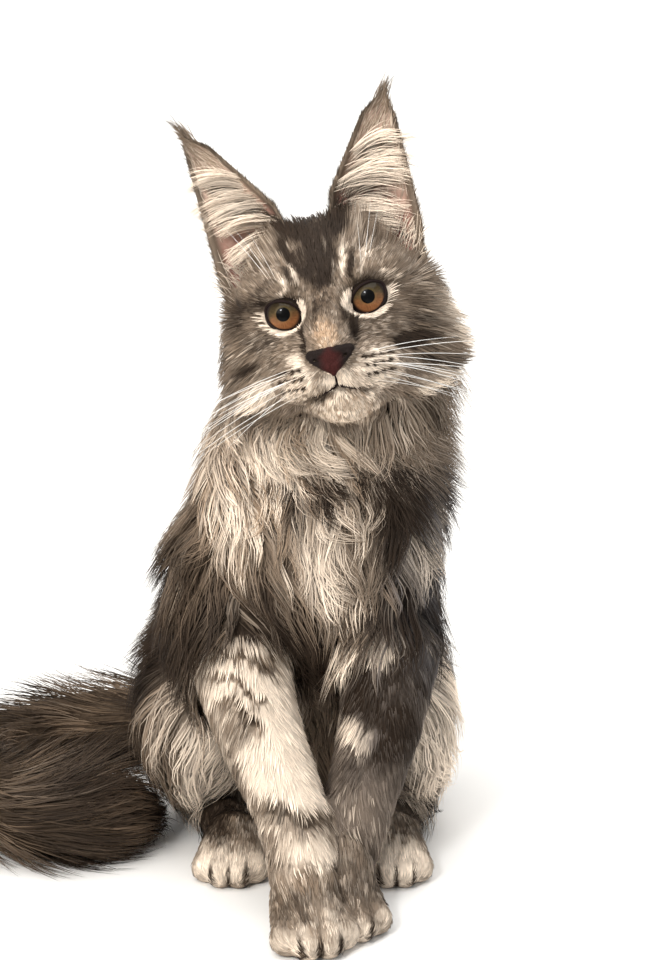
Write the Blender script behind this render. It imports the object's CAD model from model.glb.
"""The looks of a life-size seated Maine Coon cat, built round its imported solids.

One skin stands for the solids of flesh and lies inside them by the depth of their coat. The coat
over it is solid mesh: each tuft is a thin three-sided lock that tapers to a point, rooted in the
skin and combed along the lie of the fur. Skin and coat take their markings from one function.
"""

import math
from typing import NamedTuple

import bmesh
import bpy
import numpy as np
from bpy.props import FloatProperty, FloatVectorProperty, IntProperty, PointerProperty
from mathutils import Matrix, Vector
from mathutils.bvhtree import BVHTree
from mathutils.kdtree import KDTree


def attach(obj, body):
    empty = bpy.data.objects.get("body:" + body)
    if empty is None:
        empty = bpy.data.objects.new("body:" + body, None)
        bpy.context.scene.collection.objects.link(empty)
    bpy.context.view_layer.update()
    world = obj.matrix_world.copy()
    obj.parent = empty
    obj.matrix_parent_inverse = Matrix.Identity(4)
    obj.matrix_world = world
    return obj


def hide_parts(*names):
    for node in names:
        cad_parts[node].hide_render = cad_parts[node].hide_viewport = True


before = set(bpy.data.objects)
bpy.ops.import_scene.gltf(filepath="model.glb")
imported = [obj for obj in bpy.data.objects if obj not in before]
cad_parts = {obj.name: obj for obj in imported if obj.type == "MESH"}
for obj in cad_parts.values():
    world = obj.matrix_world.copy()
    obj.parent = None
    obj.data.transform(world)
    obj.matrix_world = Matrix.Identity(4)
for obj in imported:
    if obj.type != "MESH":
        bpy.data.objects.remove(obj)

bl_info = {
    "name": "Maine Coon Cat",
    "version": (1, 0, 0),
    "blender": (4, 5, 0),
    "location": "View3D > Sidebar > Cat",
    "description": "Builds the skin, eyes, face, coat and stage of a seated Maine Coon cat",
    "category": "Object",
}

MM = 0.001

# The head's frame is at the midpoint between the eyes, with x to the cat's left, y back, z up
HEAD_FRAME = (
    Matrix.Translation((0.0138, -0.1350, 0.3160))
    @ Matrix.Rotation(math.radians(-4.5), 4, "Z")
    @ Matrix.Rotation(math.radians(-8.0), 4, "X")
    @ Matrix.Rotation(math.radians(-12.7), 4, "Y")
)
WORLD_FRAME = Matrix.Identity(4)
EYE_SPACING = 42.6 * MM
EYE_RADIUS = 11.0 * MM
EYE_DEPTH = 10.0 * MM
LID_TILT = math.radians(28)
LID_HALF_WIDTH = 9.5 * MM
UPPER_LID_HEIGHT = 6.3 * MM
LOWER_LID_HEIGHT = 7.6 * MM
LID_ROUND = 1.1
LID_POINTS = 32
LID_PLUG_START = 3
LID_PLUG_DEPTH = 20
LID_PLUG_FLARE = 1.25


def station(x, y, z, *radii):
    """A ball's centre and its three radii, given in millimetres; one radius stands for all three."""
    sizes = radii if len(radii) == 3 else radii * 3
    return Vector((x, y, z)) * MM, Vector(sizes) * MM


def mirrored(chain):
    """The same stations on the other side of x = 0."""
    return [(Vector((-centre.x, centre.y, centre.z)), radii) for centre, radii in chain]


# Stations of the flesh: the same places as in the solids, without the depth of the coat
TORSO = [
    station(10, -58, 226, 56, 48, 40),
    station(7, -58, 186, 66, 56, 48),
    station(-1, -42, 140, 68, 60, 50),
    station(-5, -14, 90, 71, 64, 50),
    station(-5, 3, 47, 72, 61, 50),
]
SHOULDER_LEFT = [station(42, -66, 176, 30), station(41, -78, 138, 30), station(43, -90, 118, 24)]
SHOULDER_RIGHT = [station(-38, -66, 172, 30), station(-40, -80, 136, 30), station(-35, -96, 116, 24)]
NECK = [
    station(14, -64, 240, 48, 46, 30),
    station(19, -76, 268, 50, 44, 30),
    station(21, -77, 284, 47, 38, 26),
]
FORELEG_LEFT = [
    station(48, -90, 122, 27),
    station(43, -108, 88, 22),
    station(31, -127, 50, 18.5),
    station(26, -137, 32, 17),
]
FORELEG_RIGHT = [
    station(-34, -94, 122, 27),
    station(-22, -118, 89, 22.5),
    station(-4, -147, 54, 19),
    station(2, -160, 36, 18),
]
THIGH_LEFT = [
    station(36, 8, 78, 44),
    station(45, -30, 80, 37),
    station(51, -64, 72, 30),
    station(55, -40, 45, 27),
    station(54, -8, 28, 22),
]
THIGH_RIGHT = [
    station(-44, 8, 78, 44),
    station(-54, -30, 80, 37),
    station(-58, -64, 72, 30),
    station(-58, -40, 45, 27),
    station(-56, -8, 28, 22),
]
TAIL = [
    station(-5, 42, 34, 26),
    station(-36, 66, 27, 24),
    station(-75, 72, 23, 23),
    station(-115, 64, 22, 23),
    station(-152, 46, 22, 23),
    station(-183, 18, 22, 23),
    station(-195, -16, 22, 23),
    station(-184, -50, 22, 23),
    station(-156, -72, 22, 23),
    station(-126, -76, 22, 22),
    station(-103, -70, 20, 18),
]

# The paws: where each stands, which way it points in degrees, and its size
TOE_RADIUS = 9.0
PAW_WIDTH = 20.5
TOE_PLACES = ((-14.0, -15.0), (-5.2, -22.0), (5.2, -22.0), (14.0, -15.0))
PAWS = {
    "forepaw_right": ((5, -178), 13, 1.0),
    "forepaw_left": ((24, -161), 8, 0.95),
    "hind_foot_left": ((50, -99), 3, 0.92),
    "hind_foot_right": ((-37, -99), -3, 0.92),
}
HOCKS = {
    "hind_foot_left": station(60, -6, 20, 17),
    "hind_foot_right": station(-60, -6, 20, 17),
}
WRIST = [station(0, 17, 30, 17), station(0, 2, 20, 17, 15, 13.5), station(0, -10, 14, 16, 12, 11)]

# The head's forms in its own frame, then those of its left side
SKULL = [
    [station(0, 44, 8, 42, 40, 36), station(0, 66, -4, 42, 28, 34)],
    [station(0, 15, 12, 27, 14, 17), station(0, 32, 22, 34, 22, 22)],
    [station(0, 4, -2, 14, 9, 13), station(0, -13, -11, 12, 11, 11), station(0, -25, -20, 11, 10, 9)],
    [station(0, -13, -47, 14, 12, 10), station(0, 8, -42, 21, 18, 15), station(0, 38, -34, 32, 28, 24)],
]
FACE_SIDE = [
    [station(17, 9, 14, 12, 9, 9), station(32, 16, 11, 12, 12, 11)],
    [station(21, 13, 0, 17, 10, 14), station(34, 26, -6, 18, 20, 19)],
    [station(36, 32, -8, 20, 24, 24), station(33, 32, -28, 26, 28, 24)],
    [station(12, -2, -17, 10, 11, 10), station(24, 12, -20, 18, 15, 17)],
    [station(11, -19, -32.5, 14, 14, 11.5), station(18, -9, -33, 15, 14, 12)],
    [station(20, 6, -34, 17, 16, 13), station(30, 20, -34, 18, 18, 15)],
    [station(0, -32, -25.5, 9, 6, 6), station(7, -30, -25, 5.5, 5.5, 5)],
    [station(0, -22, -45, 9, 6, 6), station(10, -17, -45, 8, 7, 6)],
]


def paw_chains(name):
    """The sole, toes and wrist, or on a hind foot the instep, of one paw, in a frame on the floor."""
    (x, y), turn, size = PAWS[name]
    place = Matrix.Translation((x * MM, y * MM, 0)) @ Matrix.Rotation(math.radians(turn), 4, "Z")
    place = place @ Matrix.Scale(size, 4)
    chains = [
        [station(0, 12, 16, PAW_WIDTH - 3, 15, 15), station(0, -4, 12, PAW_WIDTH, 17, 13.5)],
    ]
    for across, forward in TOE_PLACES:
        root = station(across * 0.7, forward + 12, 15, 8)
        chains.append([root, station(across, forward, TOE_RADIUS - 1.2, TOE_RADIUS)])
    if name in HOCKS:
        heel, heel_radii = HOCKS[name]
        chains.append([(place.inverted() @ heel, heel_radii), station(0, 10, 14, 15, 15, 13)])
    else:
        chains.append(WRIST)
    return chains, place


def limbs():
    """Each part of the body by name, with its chains of stations and the frame that they are in."""
    found = {
        "torso": ([TORSO, SHOULDER_LEFT, SHOULDER_RIGHT], WORLD_FRAME),
        "neck": ([NECK], WORLD_FRAME),
        "thigh_left": ([THIGH_LEFT], WORLD_FRAME),
        "thigh_right": ([THIGH_RIGHT], WORLD_FRAME),
        "foreleg_left": ([FORELEG_LEFT], WORLD_FRAME),
        "foreleg_right": ([FORELEG_RIGHT], WORLD_FRAME),
        "tail": ([TAIL], WORLD_FRAME),
        "head": (SKULL + FACE_SIDE + [mirrored(chain) for chain in FACE_SIDE], HEAD_FRAME),
    }
    for name in PAWS:
        found[name] = paw_chains(name)
    return found


LIMBS = limbs()
LIMB_NAMES = list(LIMBS)
FLESH_NODES = [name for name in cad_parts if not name.startswith(("ear", "eye"))]

# Sizes of the skin's mesh
FLOOR_ROOM = 0.3 * MM
BALLS_BETWEEN_STATIONS = 4
BODY_VOXEL = 2.9 * MM
PAW_VOXEL = 1.5 * MM
HEAD_VOXEL = 1.2 * MM


class CoatSettings(bpy.types.PropertyGroup):
    """Lengths and thickness of the coat."""

    ruff_length: FloatProperty(
        name="Ruff length", description="Length of the locks of the ruff", default=0.046, unit="LENGTH"
    )
    body_length: FloatProperty(
        name="Body length",
        description="Length of the coat on the back and sides",
        default=0.038,
        unit="LENGTH",
    )
    tail_length: FloatProperty(
        name="Tail length", description="Length of the hair of the tail", default=0.046, unit="LENGTH"
    )
    density: FloatProperty(
        name="Density", description="Share of the full number of tufts", default=1.0, subtype="FACTOR"
    )
    seed: IntProperty(name="Seed", description="Start of the random draws", default=11)


def colour_property(name, description, default):
    """A colour that a user can change."""
    return FloatVectorProperty(name=name, description=description, default=default, size=3, subtype="COLOR")


class ColourSettings(bpy.types.PropertyGroup):
    """Colours of the coat, skin and eyes, as linear red, green and blue."""

    cream: colour_property("Cream", "Muzzle, chin, toes and pale locks", (0.865, 0.722, 0.58))
    silver: colour_property("Silver", "Ground colour of the coat", (0.212, 0.158, 0.114))
    smoke: colour_property("Smoke", "Dark bands and tips", (0.026, 0.0165, 0.0105))
    cool: colour_property("Cool grey", "Blue-grey of the left flank", (0.125, 0.122, 0.130))
    tan: colour_property("Tan", "Bridge of the nose", (0.52, 0.35, 0.22))
    pink: colour_property("Pink", "Bare skin in the ears", (0.42, 0.15, 0.12))
    nose: colour_property("Nose", "Leather of the nose", (0.036, 0.0105, 0.0095))
    rim: colour_property("Rim", "Dark rims of the eyes and lips", (0.014, 0.010, 0.009))
    amber: colour_property("Amber", "Lower part of the iris", (0.21, 0.088, 0.036))
    olive: colour_property("Olive", "Upper part of the iris", (0.052, 0.036, 0.017))


class StageSettings(bpy.types.PropertyGroup):
    """Strength of the lights."""

    key_power: FloatProperty(name="Key", description="Power of the main light", default=24.0, unit="POWER")
    fill_power: FloatProperty(name="Fill", description="Power of the soft light", default=6.0, unit="POWER")
    sky: FloatProperty(name="Sky", description="Brightness of the surroundings", default=0.5)


def unit(vectors):
    """The vectors made one long."""
    return vectors / np.maximum(np.linalg.norm(vectors, axis=-1, keepdims=True), 1e-9)


def flattened(vectors, normals):
    """The vectors laid along the surface that has these normals."""
    return unit(vectors - normals * (vectors * normals).sum(-1, keepdims=True))


def smoothstep(low, high, values):
    """A soft step from 0 to 1 between two values."""
    share = np.clip((values - low) / (high - low), 0, 1)
    return share * share * (3 - 2 * share)


def columns(*parts):
    """Arrays and single numbers side by side, as the columns of one array."""
    return np.stack(np.broadcast_arrays(*parts), 1)


def into_frame(points, place):
    """Points of the world in the millimetres of a frame."""
    matrix = np.array(place.inverted())
    return (points @ matrix[:3, :3].T + matrix[:3, 3]) / MM


def out_of_frame(vectors, place):
    """Directions of a frame in the world."""
    return vectors @ np.array(place.to_3x3()).T


def head_point(x, y, z):
    """A point of the head, given in the millimetres of its frame."""
    return HEAD_FRAME @ (Vector((x, y, z)) * MM)


def head_way(x, y, z):
    """A direction of the head's frame in the world."""
    return out_of_frame(np.array((x, y, z), float), HEAD_FRAME)


def select_only(*objects):
    """Selects these objects and nothing else, and makes the last one active."""
    bpy.ops.object.select_all(action="DESELECT")
    for obj in objects:
        obj.select_set(True)
    bpy.context.view_layer.objects.active = objects[-1]


def apply_modifier(obj, kind, **settings):
    """Adds a modifier with these settings to the object and applies it."""
    select_only(obj)
    step = obj.modifiers.new(kind.lower(), kind)
    for key, value in settings.items():
        setattr(step, key, value)
    bpy.ops.object.modifier_apply(modifier=step.name)


def edited(obj, tool, **settings):
    """Uses one tool on all of the object in edit mode."""
    select_only(obj)
    bpy.ops.object.mode_set(mode="EDIT")
    bpy.ops.mesh.select_all(action="SELECT")
    tool(**settings)
    bpy.ops.object.mode_set(mode="OBJECT")


def shade_smooth(obj):
    """Shades the whole object smooth."""
    select_only(obj)
    bpy.ops.object.shade_smooth()


def linked(name, data):
    """A new object of the scene with this data."""
    obj = bpy.data.objects.new(name, data)
    bpy.context.scene.collection.objects.link(obj)
    return obj


def settle(obj, name):
    """Names the object and puts its place, turn and size into its mesh."""
    select_only(obj)
    bpy.ops.object.transform_apply(location=True, rotation=True, scale=True)
    obj.name = name
    obj.data.name = name
    return obj


def as_one(name, pieces):
    """The pieces joined into one object."""
    select_only(*pieces)
    bpy.ops.object.join()
    return settle(bpy.context.active_object, name)


def stations_along(chain, steps):
    """The balls of a chain, each a centre, radii, and its place counted in stations."""
    balls = []
    for index, ((start, start_radii), (end, end_radii)) in enumerate(zip(chain, chain[1:])):
        for step in range(steps + 1):
            share = step / steps
            balls.append((start.lerp(end, share), start_radii.lerp(end_radii, share), index + share))
    return balls


def fused(name, chains, place, voxel, rounds):
    """One smooth closed mesh from chains of balls."""
    made = []
    for chain in chains:
        for centre, radii, _ in stations_along(chain, BALLS_BETWEEN_STATIONS):
            bpy.ops.mesh.primitive_ico_sphere_add(
                subdivisions=3,
                radius=1.0,
                location=place @ centre,
                rotation=place.to_euler(),
                scale=radii * place.median_scale,
            )
            made.append(bpy.context.active_object)
    select_only(*made)
    bpy.ops.object.transform_apply(location=True, rotation=True, scale=True)
    bpy.ops.object.join()
    body = bpy.context.active_object
    body.name = name
    apply_modifier(body, "REMESH", mode="VOXEL", voxel_size=voxel)
    apply_modifier(body, "SMOOTH", factor=0.5, iterations=rounds)
    return body


def joined(first, second, operation):
    """Applies a Boolean of the second mesh to the first and removes the second."""
    apply_modifier(first, "BOOLEAN", object=second, operation=operation, solver="MANIFOLD")
    bpy.data.objects.remove(second, do_unlink=True)


def lid_opening(angle, size):
    """How far across and up the edge of the lids lies from the middle of the eye, at an angle."""
    across = LID_HALF_WIDTH * size * math.copysign(abs(math.cos(angle)) ** LID_ROUND, math.cos(angle))
    height = UPPER_LID_HEIGHT if math.sin(angle) > 0 else LOWER_LID_HEIGHT
    up = height * size * math.copysign(abs(math.sin(angle)) ** LID_ROUND, math.sin(angle))
    tilted_across = across * math.cos(LID_TILT) - up * math.sin(LID_TILT)
    tilted_up = across * math.sin(LID_TILT) + up * math.cos(LID_TILT)
    return tilted_across, tilted_up


def cut_lids(head, side):
    """Opens the skin in front of one eye with a flared almond plug."""
    bpy.ops.mesh.primitive_cone_add(vertices=LID_POINTS, radius1=1.0, radius2=LID_PLUG_FLARE, depth=1.0)
    plug = bpy.context.active_object
    for vertex in plug.data.vertices:
        size = math.hypot(vertex.co.x, vertex.co.y)
        across, up = lid_opening(math.atan2(vertex.co.y, vertex.co.x), size)
        front = EYE_DEPTH - LID_PLUG_START * MM - (vertex.co.z + 0.5) * LID_PLUG_DEPTH * MM
        vertex.co = HEAD_FRAME @ Vector((side * (EYE_SPACING / 2 + across), front, up))
    edited(plug, bpy.ops.mesh.normals_make_consistent, inside=False)
    joined(head, plug, "DIFFERENCE")


def cut_below(obj, height):
    """Cuts the object flat at a height and closes it there."""
    plane = {"plane_co": (0, 0, height), "plane_no": (0, 0, 1)}
    edited(obj, bpy.ops.mesh.bisect, use_fill=True, clear_inner=True, threshold=1e-6, **plane)


def make_skin():
    """The whole skin as one closed mesh."""
    body_chains = []
    for name, (chains, place) in LIMBS.items():
        if place is WORLD_FRAME:
            body_chains += chains
    skin = fused("skin", body_chains, WORLD_FRAME, BODY_VOXEL, 6)
    for name in PAWS:
        chains, place = LIMBS[name]
        joined(skin, fused(name + "_flesh", chains, place, PAW_VOXEL, 3), "UNION")
    chains, place = LIMBS["head"]
    head = fused("head_flesh", chains, place, HEAD_VOXEL, 12)
    for side in (-1, 1):
        cut_lids(head, side)
    joined(skin, head, "UNION")
    cut_below(skin, FLOOR_ROOM)
    apply_modifier(skin, "TRIANGULATE")
    return settle(skin, "skin")


class Surface:
    """The skin as arrays: points, triangles, normals, and at each point its limb, lie and marks."""

    def __init__(self, obj):
        mesh = obj.data
        self.points = read(mesh.vertices, "co", 3)
        self.normals = read(mesh.vertices, "normal", 3)
        self.triangles = read(mesh.polygons, "vertices", 3, np.int32)
        corners = self.points[self.triangles]
        sides = np.cross(corners[:, 1] - corners[:, 0], corners[:, 2] - corners[:, 0])
        self.areas = np.linalg.norm(sides, axis=1) / 2
        self.flat = unit(sides)
        self.centres = corners.mean(1)
        self.limb, self.along, ways, offsets = nearest_station(self.points)
        self.lie = self.smoothed(lie_of_coat(self.points, self.normals, self.limb, ways), 12)
        self.marks = markings(self.points, self.normals, self.limb, self.along)
        self.unwrap = unwrapped(self.points, self.limb, self.along, ways, offsets)
        self.lies = unit(self.lie[self.triangles].mean(1))
        self.limbs = self.limb[self.triangles[:, 0]]
        form = bmesh.new()
        form.from_mesh(mesh)
        self.tree = BVHTree.FromBMesh(form)
        form.free()

    def smoothed(self, vectors, rounds):
        """The vectors at the points, evened out along the edges and laid along the skin."""
        ends = np.concatenate([self.triangles[:, [a, b]] for a, b in ((0, 1), (1, 2), (2, 0))])
        vectors = flattened(vectors, self.normals)
        for _ in range(rounds):
            total = vectors.copy()
            for axis in range(3):
                total[:, axis] += np.bincount(ends[:, 0], vectors[ends[:, 1], axis], len(vectors))
                total[:, axis] += np.bincount(ends[:, 1], vectors[ends[:, 0], axis], len(vectors))
            vectors = flattened(total, self.normals)
        return vectors

    def nearest(self, places):
        """The nearest points of the skin, their normals and the lie of the coat there."""
        found = [self.tree.find_nearest(place) for place in places.tolist()]
        near = np.array([hit[0] for hit in found]).reshape(-1, 3)
        face = np.array([hit[2] for hit in found], int)
        return near, self.flat[face], self.lies[face]

    def seen_from(self, places, way):
        """Where lines from the places first meet the skin."""
        return np.array([tuple(self.tree.ray_cast(place, tuple(way))[0]) for place in places.tolist()])

    def scatter(self, weights, count, random):
        """Random roots on the skin, more of them where the triangles weigh more."""
        chance = self.areas * weights
        picks = random.choice(len(chance), size=count, p=chance / chance.sum())
        first = np.sqrt(random.random(count))
        second = random.random(count)
        shares = np.stack((1 - first, first * (1 - second), first * second), 1)[:, :, None]
        corners = self.triangles[picks]
        roots = Roots()
        roots.points = (self.points[corners] * shares).sum(1)
        roots.normals = unit((self.normals[corners] * shares).sum(1))
        roots.ways = flattened((self.lie[corners] * shares).sum(1), roots.normals)
        roots.marks = (self.marks[corners] * shares).sum(1)
        roots.unwrap = self.unwrap[corners[:, 0]]
        roots.limb = self.limb[corners[:, 0]]
        return roots


class Roots:
    """Where tufts start: points, normals, the way that they lie, marks, unwrap and limb."""

    def keep(self, which):
        """Only these roots."""
        kept = Roots()
        for name, values in vars(self).items():
            setattr(kept, name, values[which])
        return kept


def read(items, name, width, kind=float):
    """A property of mesh items as an array."""
    values = np.empty(len(items) * width, kind)
    items.foreach_get(name, values)
    return values.reshape(-1, width)


def nearest_station(points):
    """For each point its limb, its place along the limb, the way along it and the offset from it."""
    centres, sizes, owners, places, ways = [], [], [], [], []
    for index, (chains, place) in enumerate(LIMBS.values()):
        for chain in chains:
            for first, ((start, _), (end, _)) in enumerate(zip(chain, chain[1:])):
                way = (place.to_3x3() @ (end - start)).normalized()
                for centre, radii, share in stations_along(chain[first:first + 2], 4):
                    centres.append(place @ centre)
                    sizes.append(radii * place.median_scale)
                    owners.append(index)
                    places.append(first + share)
                    ways.append(way)
    centres, sizes, owners = np.array(centres), np.array(sizes), np.array(owners)
    places, ways = np.array(places), np.array(ways)
    turns = [np.array(place.to_3x3().normalized().inverted()) for _, place in LIMBS.values()]
    chosen = np.zeros(len(points), int)
    for first in range(0, len(points), 4000):
        block = points[first:first + 4000]
        best = np.full(len(block), np.inf)
        for index, turn in enumerate(turns):
            mine = np.nonzero(owners == index)[0]
            reach = np.linalg.norm((block[:, None] - centres[mine]) @ turn.T / sizes[mine], axis=2)
            nearest = reach.argmin(1)
            reach = reach[np.arange(len(block)), nearest]
            chosen[first:first + 4000][reach < best] = mine[nearest[reach < best]]
            best = np.minimum(best, reach)
    return owners[chosen], places[chosen], ways[chosen], points - centres[chosen]


def limb_is(limb, *names):
    """Which points belong to limbs whose names start so."""
    wanted = [index for index, name in enumerate(LIMB_NAMES) if name.startswith(names)]
    return np.isin(limb, wanted)


NOSE_TIP = np.array((0.0, -36.0, -24.0))


def head_lie(spots):
    """The lie of the coat on the head, in its frame: away from the nose, round the eyes, down behind."""
    side = np.sign(spots[:, 0])
    lie = unit(spots - NOSE_TIP)
    for eye in (-1, 1):
        away = spots - np.array((eye * EYE_SPACING / 2 / MM, 4.0, 0.0))
        away[:, 1] *= 0.3
        near = np.exp(-((np.linalg.norm(away, axis=1, keepdims=True) / 15) ** 2))
        lie = lie + unit(away) * near * 1.3
    cheek = smoothstep(24, 42, np.abs(spots[:, :1])) * smoothstep(16, -14, spots[:, 2:3])
    lie = lie + columns(side * 0.7, 0.4, -0.9) * cheek * 1.2
    behind = smoothstep(48, 78, spots[:, 1:2])
    lie = lie * (1 - behind) + np.array((0, 0.4, -1.0)) * behind
    return lie


def lie_of_coat(points, normals, limb, ways):
    """The way that the coat lies at each point, before it is laid along the skin."""
    count = len(points)
    lie = np.tile((0.0, 0.0, -1.0), (count, 1))
    back = smoothstep(-0.11, 0.01, points[:, 1])
    trunk = limb_is(limb, "torso")
    lie[trunk, 1] = 0.6 * back[trunk]
    front = limb_is(limb, "neck", "torso")
    away = unit(points[:, :2] - np.array((0.016, -0.07)))
    lie[front, :2] += away[front] * 0.2
    faces_front = smoothstep(-0.1, -0.6, normals[:, 1]) * front
    sweep = smoothstep(0.0, -0.03, points[:, 0]) * smoothstep(0.18, 0.21, points[:, 2])
    lie[:, 0] += faces_front * (1.1 * sweep + 0.25 * smoothstep(0.03, -0.02, points[:, 0]))
    thigh = limb_is(limb, "thigh")
    lie[thigh, 1] += 0.25
    lie[thigh, 0] += 0.3 * np.sign(points[thigh, 0])
    leg = limb_is(limb, "foreleg")
    lie[leg, 1] += 0.15
    tail = limb_is(limb, "tail")
    lie[tail] = ways[tail]
    for name, (_, turn, _) in PAWS.items():
        paw = limb_is(limb, name)
        angle = math.radians(turn)
        lie[paw] = (math.sin(angle), -math.cos(angle), -0.35)
    head = limb_is(limb, "head")
    spots = into_frame(points[head], HEAD_FRAME)
    lie[head] = out_of_frame(head_lie(spots), HEAD_FRAME)
    return lie


def unwrapped(points, limb, along, ways, offsets):
    """Where each point lies on an unwrap of the skin: a cell for each limb, round it and along it."""
    up = np.where(np.abs(ways[:, 2:3]) > 0.7, (0.0, 1.0, 0.0), (0.0, 0.0, 1.0))
    up = flattened(up, ways)
    side = np.cross(ways, up)
    turn = np.arctan2((offsets * side).sum(1), (offsets * up).sum(1)) / (2 * math.pi) + 0.5
    span = along / 11
    head = limb_is(limb, "head")
    spots = into_frame(points[head], HEAD_FRAME) - np.array((0, 30, -5))
    turn[head] = np.arctan2(spots[:, 0], -spots[:, 1]) / (2 * math.pi) + 0.5
    span[head] = np.clip(spots[:, 2] / 120 + 0.5, 0, 1)
    cell = np.stack((limb % 4, limb // 4), 1)
    return (cell + 0.02 + 0.94 * np.stack((turn, np.clip(span, 0, 1)), 1)) / 4


# Marks of the coat: a place and a reach in millimetres, the turn of the reach in degrees as seen
# from the front, then how much paler, darker and warmer the coat is there. Those of the body are in
# the world, those of the face in the head's frame, where "left" and "right" are the picture's.
BODY_MARKS = [
    ("cream chest, right", (-30, -110, 236), (28, 45, 20), 0, (0.62, 0.0, 0.5)),
    ("brown streak of the chest", (-24, -110, 226), (22, 40, 4.5), -20, (0.0, 0.6, 0.2)),
    ("cream chest, below it", (-36, -106, 208), (15, 40, 18), 0, (0.5, 0.0, 0.45)),
    ("brown streaks, right", (-34, -100, 172), (22, 40, 26), 10, (0.12, 0.45, 0.2)),
    ("curls of the collar", (14, -114, 252), (36, 40, 10), 0, (0.32, 0.15, 0.3)),
    ("shade in the collar", (14, -114, 231), (28, 40, 8), -6, (-0.1, 0.6, 0.2)),
    ("shade in the collar, left", (38, -110, 226), (14, 40, 8), 0, (0.0, 0.7, 0.0)),
    ("cream locks in the middle", (8, -114, 200), (16, 40, 26), -12, (0.7, 0.1, 0.2)),
    ("tip of the middle locks", (30, -110, 166), (7, 40, 9), -20, (0.6, 0.0, 0.0)),
    ("dark side of the middle", (46, -98, 222), (10, 40, 26), 0, (0.0, 0.6, -0.5)),
    ("dark below the middle", (46, -104, 160), (14, 40, 10), 0, (0.0, 0.5, -0.4)),
    ("brown shoulder, right", (-68, -72, 192), (17, 45, 52), 8, (0.1, 0.4, 0.25)),
    ("brown flank, right", (-76, -55, 138), (22, 50, 42), 0, (0.12, 0.45, 0.25)),
    ("grey flank, left", (72, -72, 184), (30, 55, 64), 0, (0.14, 0.3, -0.95)),
    ("grey flank, low left", (68, -60, 130), (26, 60, 40), 0, (0.14, 0.34, -0.8)),
    ("pale streak, left", (62, -94, 196), (6, 40, 18), -12, (0.4, 0.0, -0.2)),
    ("pale shoulder, left", (56, -98, 174), (6, 30, 14), -30, (0.25, 0.0, -0.3)),
    ("shade between the legs", (0, -118, 142), (28, 40, 18), 0, (-0.1, 1.0, 0.0)),
    ("elbow, right", (-50, -96, 140), (20, 34, 20), 0, (0.1, 0.45, 0.15)),
    ("upper part of the right leg", (-26, -122, 120), (20, 40, 20), -12, (0.8, 0.0, 0.1)),
    ("first band of the right leg", (-28, -120, 143), (30, 40, 3.6), -12, (-0.3, 0.62, 0.25)),
    ("second band of the right leg", (-30, -124, 129), (26, 40, 3.4), -12, (-0.35, 0.6, 0.25)),
    ("third band of the right leg", (-30, -126, 115), (20, 40, 3.2), -12, (-0.35, 0.55, 0.25)),
    ("fourth band of the right leg", (-28, -128, 102), (14, 40, 3.0), -12, (-0.3, 0.5, 0.25)),
    ("right foreleg", (-3, -146, 86), (19, 34, 28), -16, (1.25, 0.0, 0.0)),
    ("dark edge of the right foreleg", (-28, -120, 88), (8, 30, 30), -16, (0.0, 0.45, 0.05)),
    ("lowest band of the right leg", (2, -168, 60), (22, 30, 4.5), 8, (0.0, 0.6, 0.1)),
    ("right wrist", (8, -180, 42), (16, 26, 9), 0, (0.5, 0.05, 0.2)),
    ("right paw", (0, -184, 24), (19, 26, 13), 0, (0.05, 0.5, 0.25)),
    ("toes of the right paw", (8, -206, 9), (22, 18, 8), 0, (0.4, 0.2, 0.2)),
    ("left foreleg", (42, -108, 90), (26, 34, 44), 0, (-0.15, 0.8, -0.3)),
    ("pale patch of the left leg", (34, -120, 134), (15, 36, 10), -14, (1.1, 0.0, 0.0)),
    ("lower patch of the left leg", (22, -134, 95), (18, 34, 8), -10, (0.7, 0.0, 0.0)),
    ("left paw", (32, -160, 26), (22, 26, 20), 0, (0.05, 0.45, 0.0)),
    ("toes of the left paw", (30, -186, 8), (26, 16, 9), 0, (0.45, 0.1, 0.05)),
    ("top of the right thigh", (-66, -40, 108), (26, 50, 24), 0, (0.15, 0.45, 0.25)),
    ("britches, right", (-46, -70, 66), (20, 40, 24), 0, (0.85, 0.0, 0.1)),
    ("shade of the right britches", (-86, -40, 70), (16, 40, 44), 0, (0.1, 0.5, 0.25)),
    ("shade under the right britches", (-60, -70, 24), (40, 40, 9), 0, (0.0, 0.8, 0.0)),
    ("britches, left", (78, -64, 76), (22, 48, 36), 0, (1.7, -0.35, -0.6)),
    ("pale edge of the tail", (-125, 30, 98), (50, 60, 12), 0, (0.45, -0.2, 0.1)),
    ("shade under the left britches", (76, -50, 24), (30, 50, 10), 0, (0.0, 0.7, -0.2)),
    ("top of the right hind foot", (-40, -100, 32), (26, 30, 7), 0, (0.2, 0.35, 0.2)),
    ("top of the left hind foot", (54, -100, 32), (26, 30, 7), 0, (0.2, 0.35, 0.2)),
    ("toes of the right hind foot", (-38, -122, 12), (24, 18, 14), 0, (0.6, 0.1, 0.15)),
    ("toes of the left hind foot", (52, -122, 12), (24, 18, 14), 0, (0.65, 0.1, 0.1)),
    ("stripe of the back", (0, 60, 150), (12, 60, 110), 0, (0.0, 0.8, 0.0)),
    ("dark saddle", (0, 70, 60), (50, 40, 40), 0, (0.0, 0.5, 0.0)),
]
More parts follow.
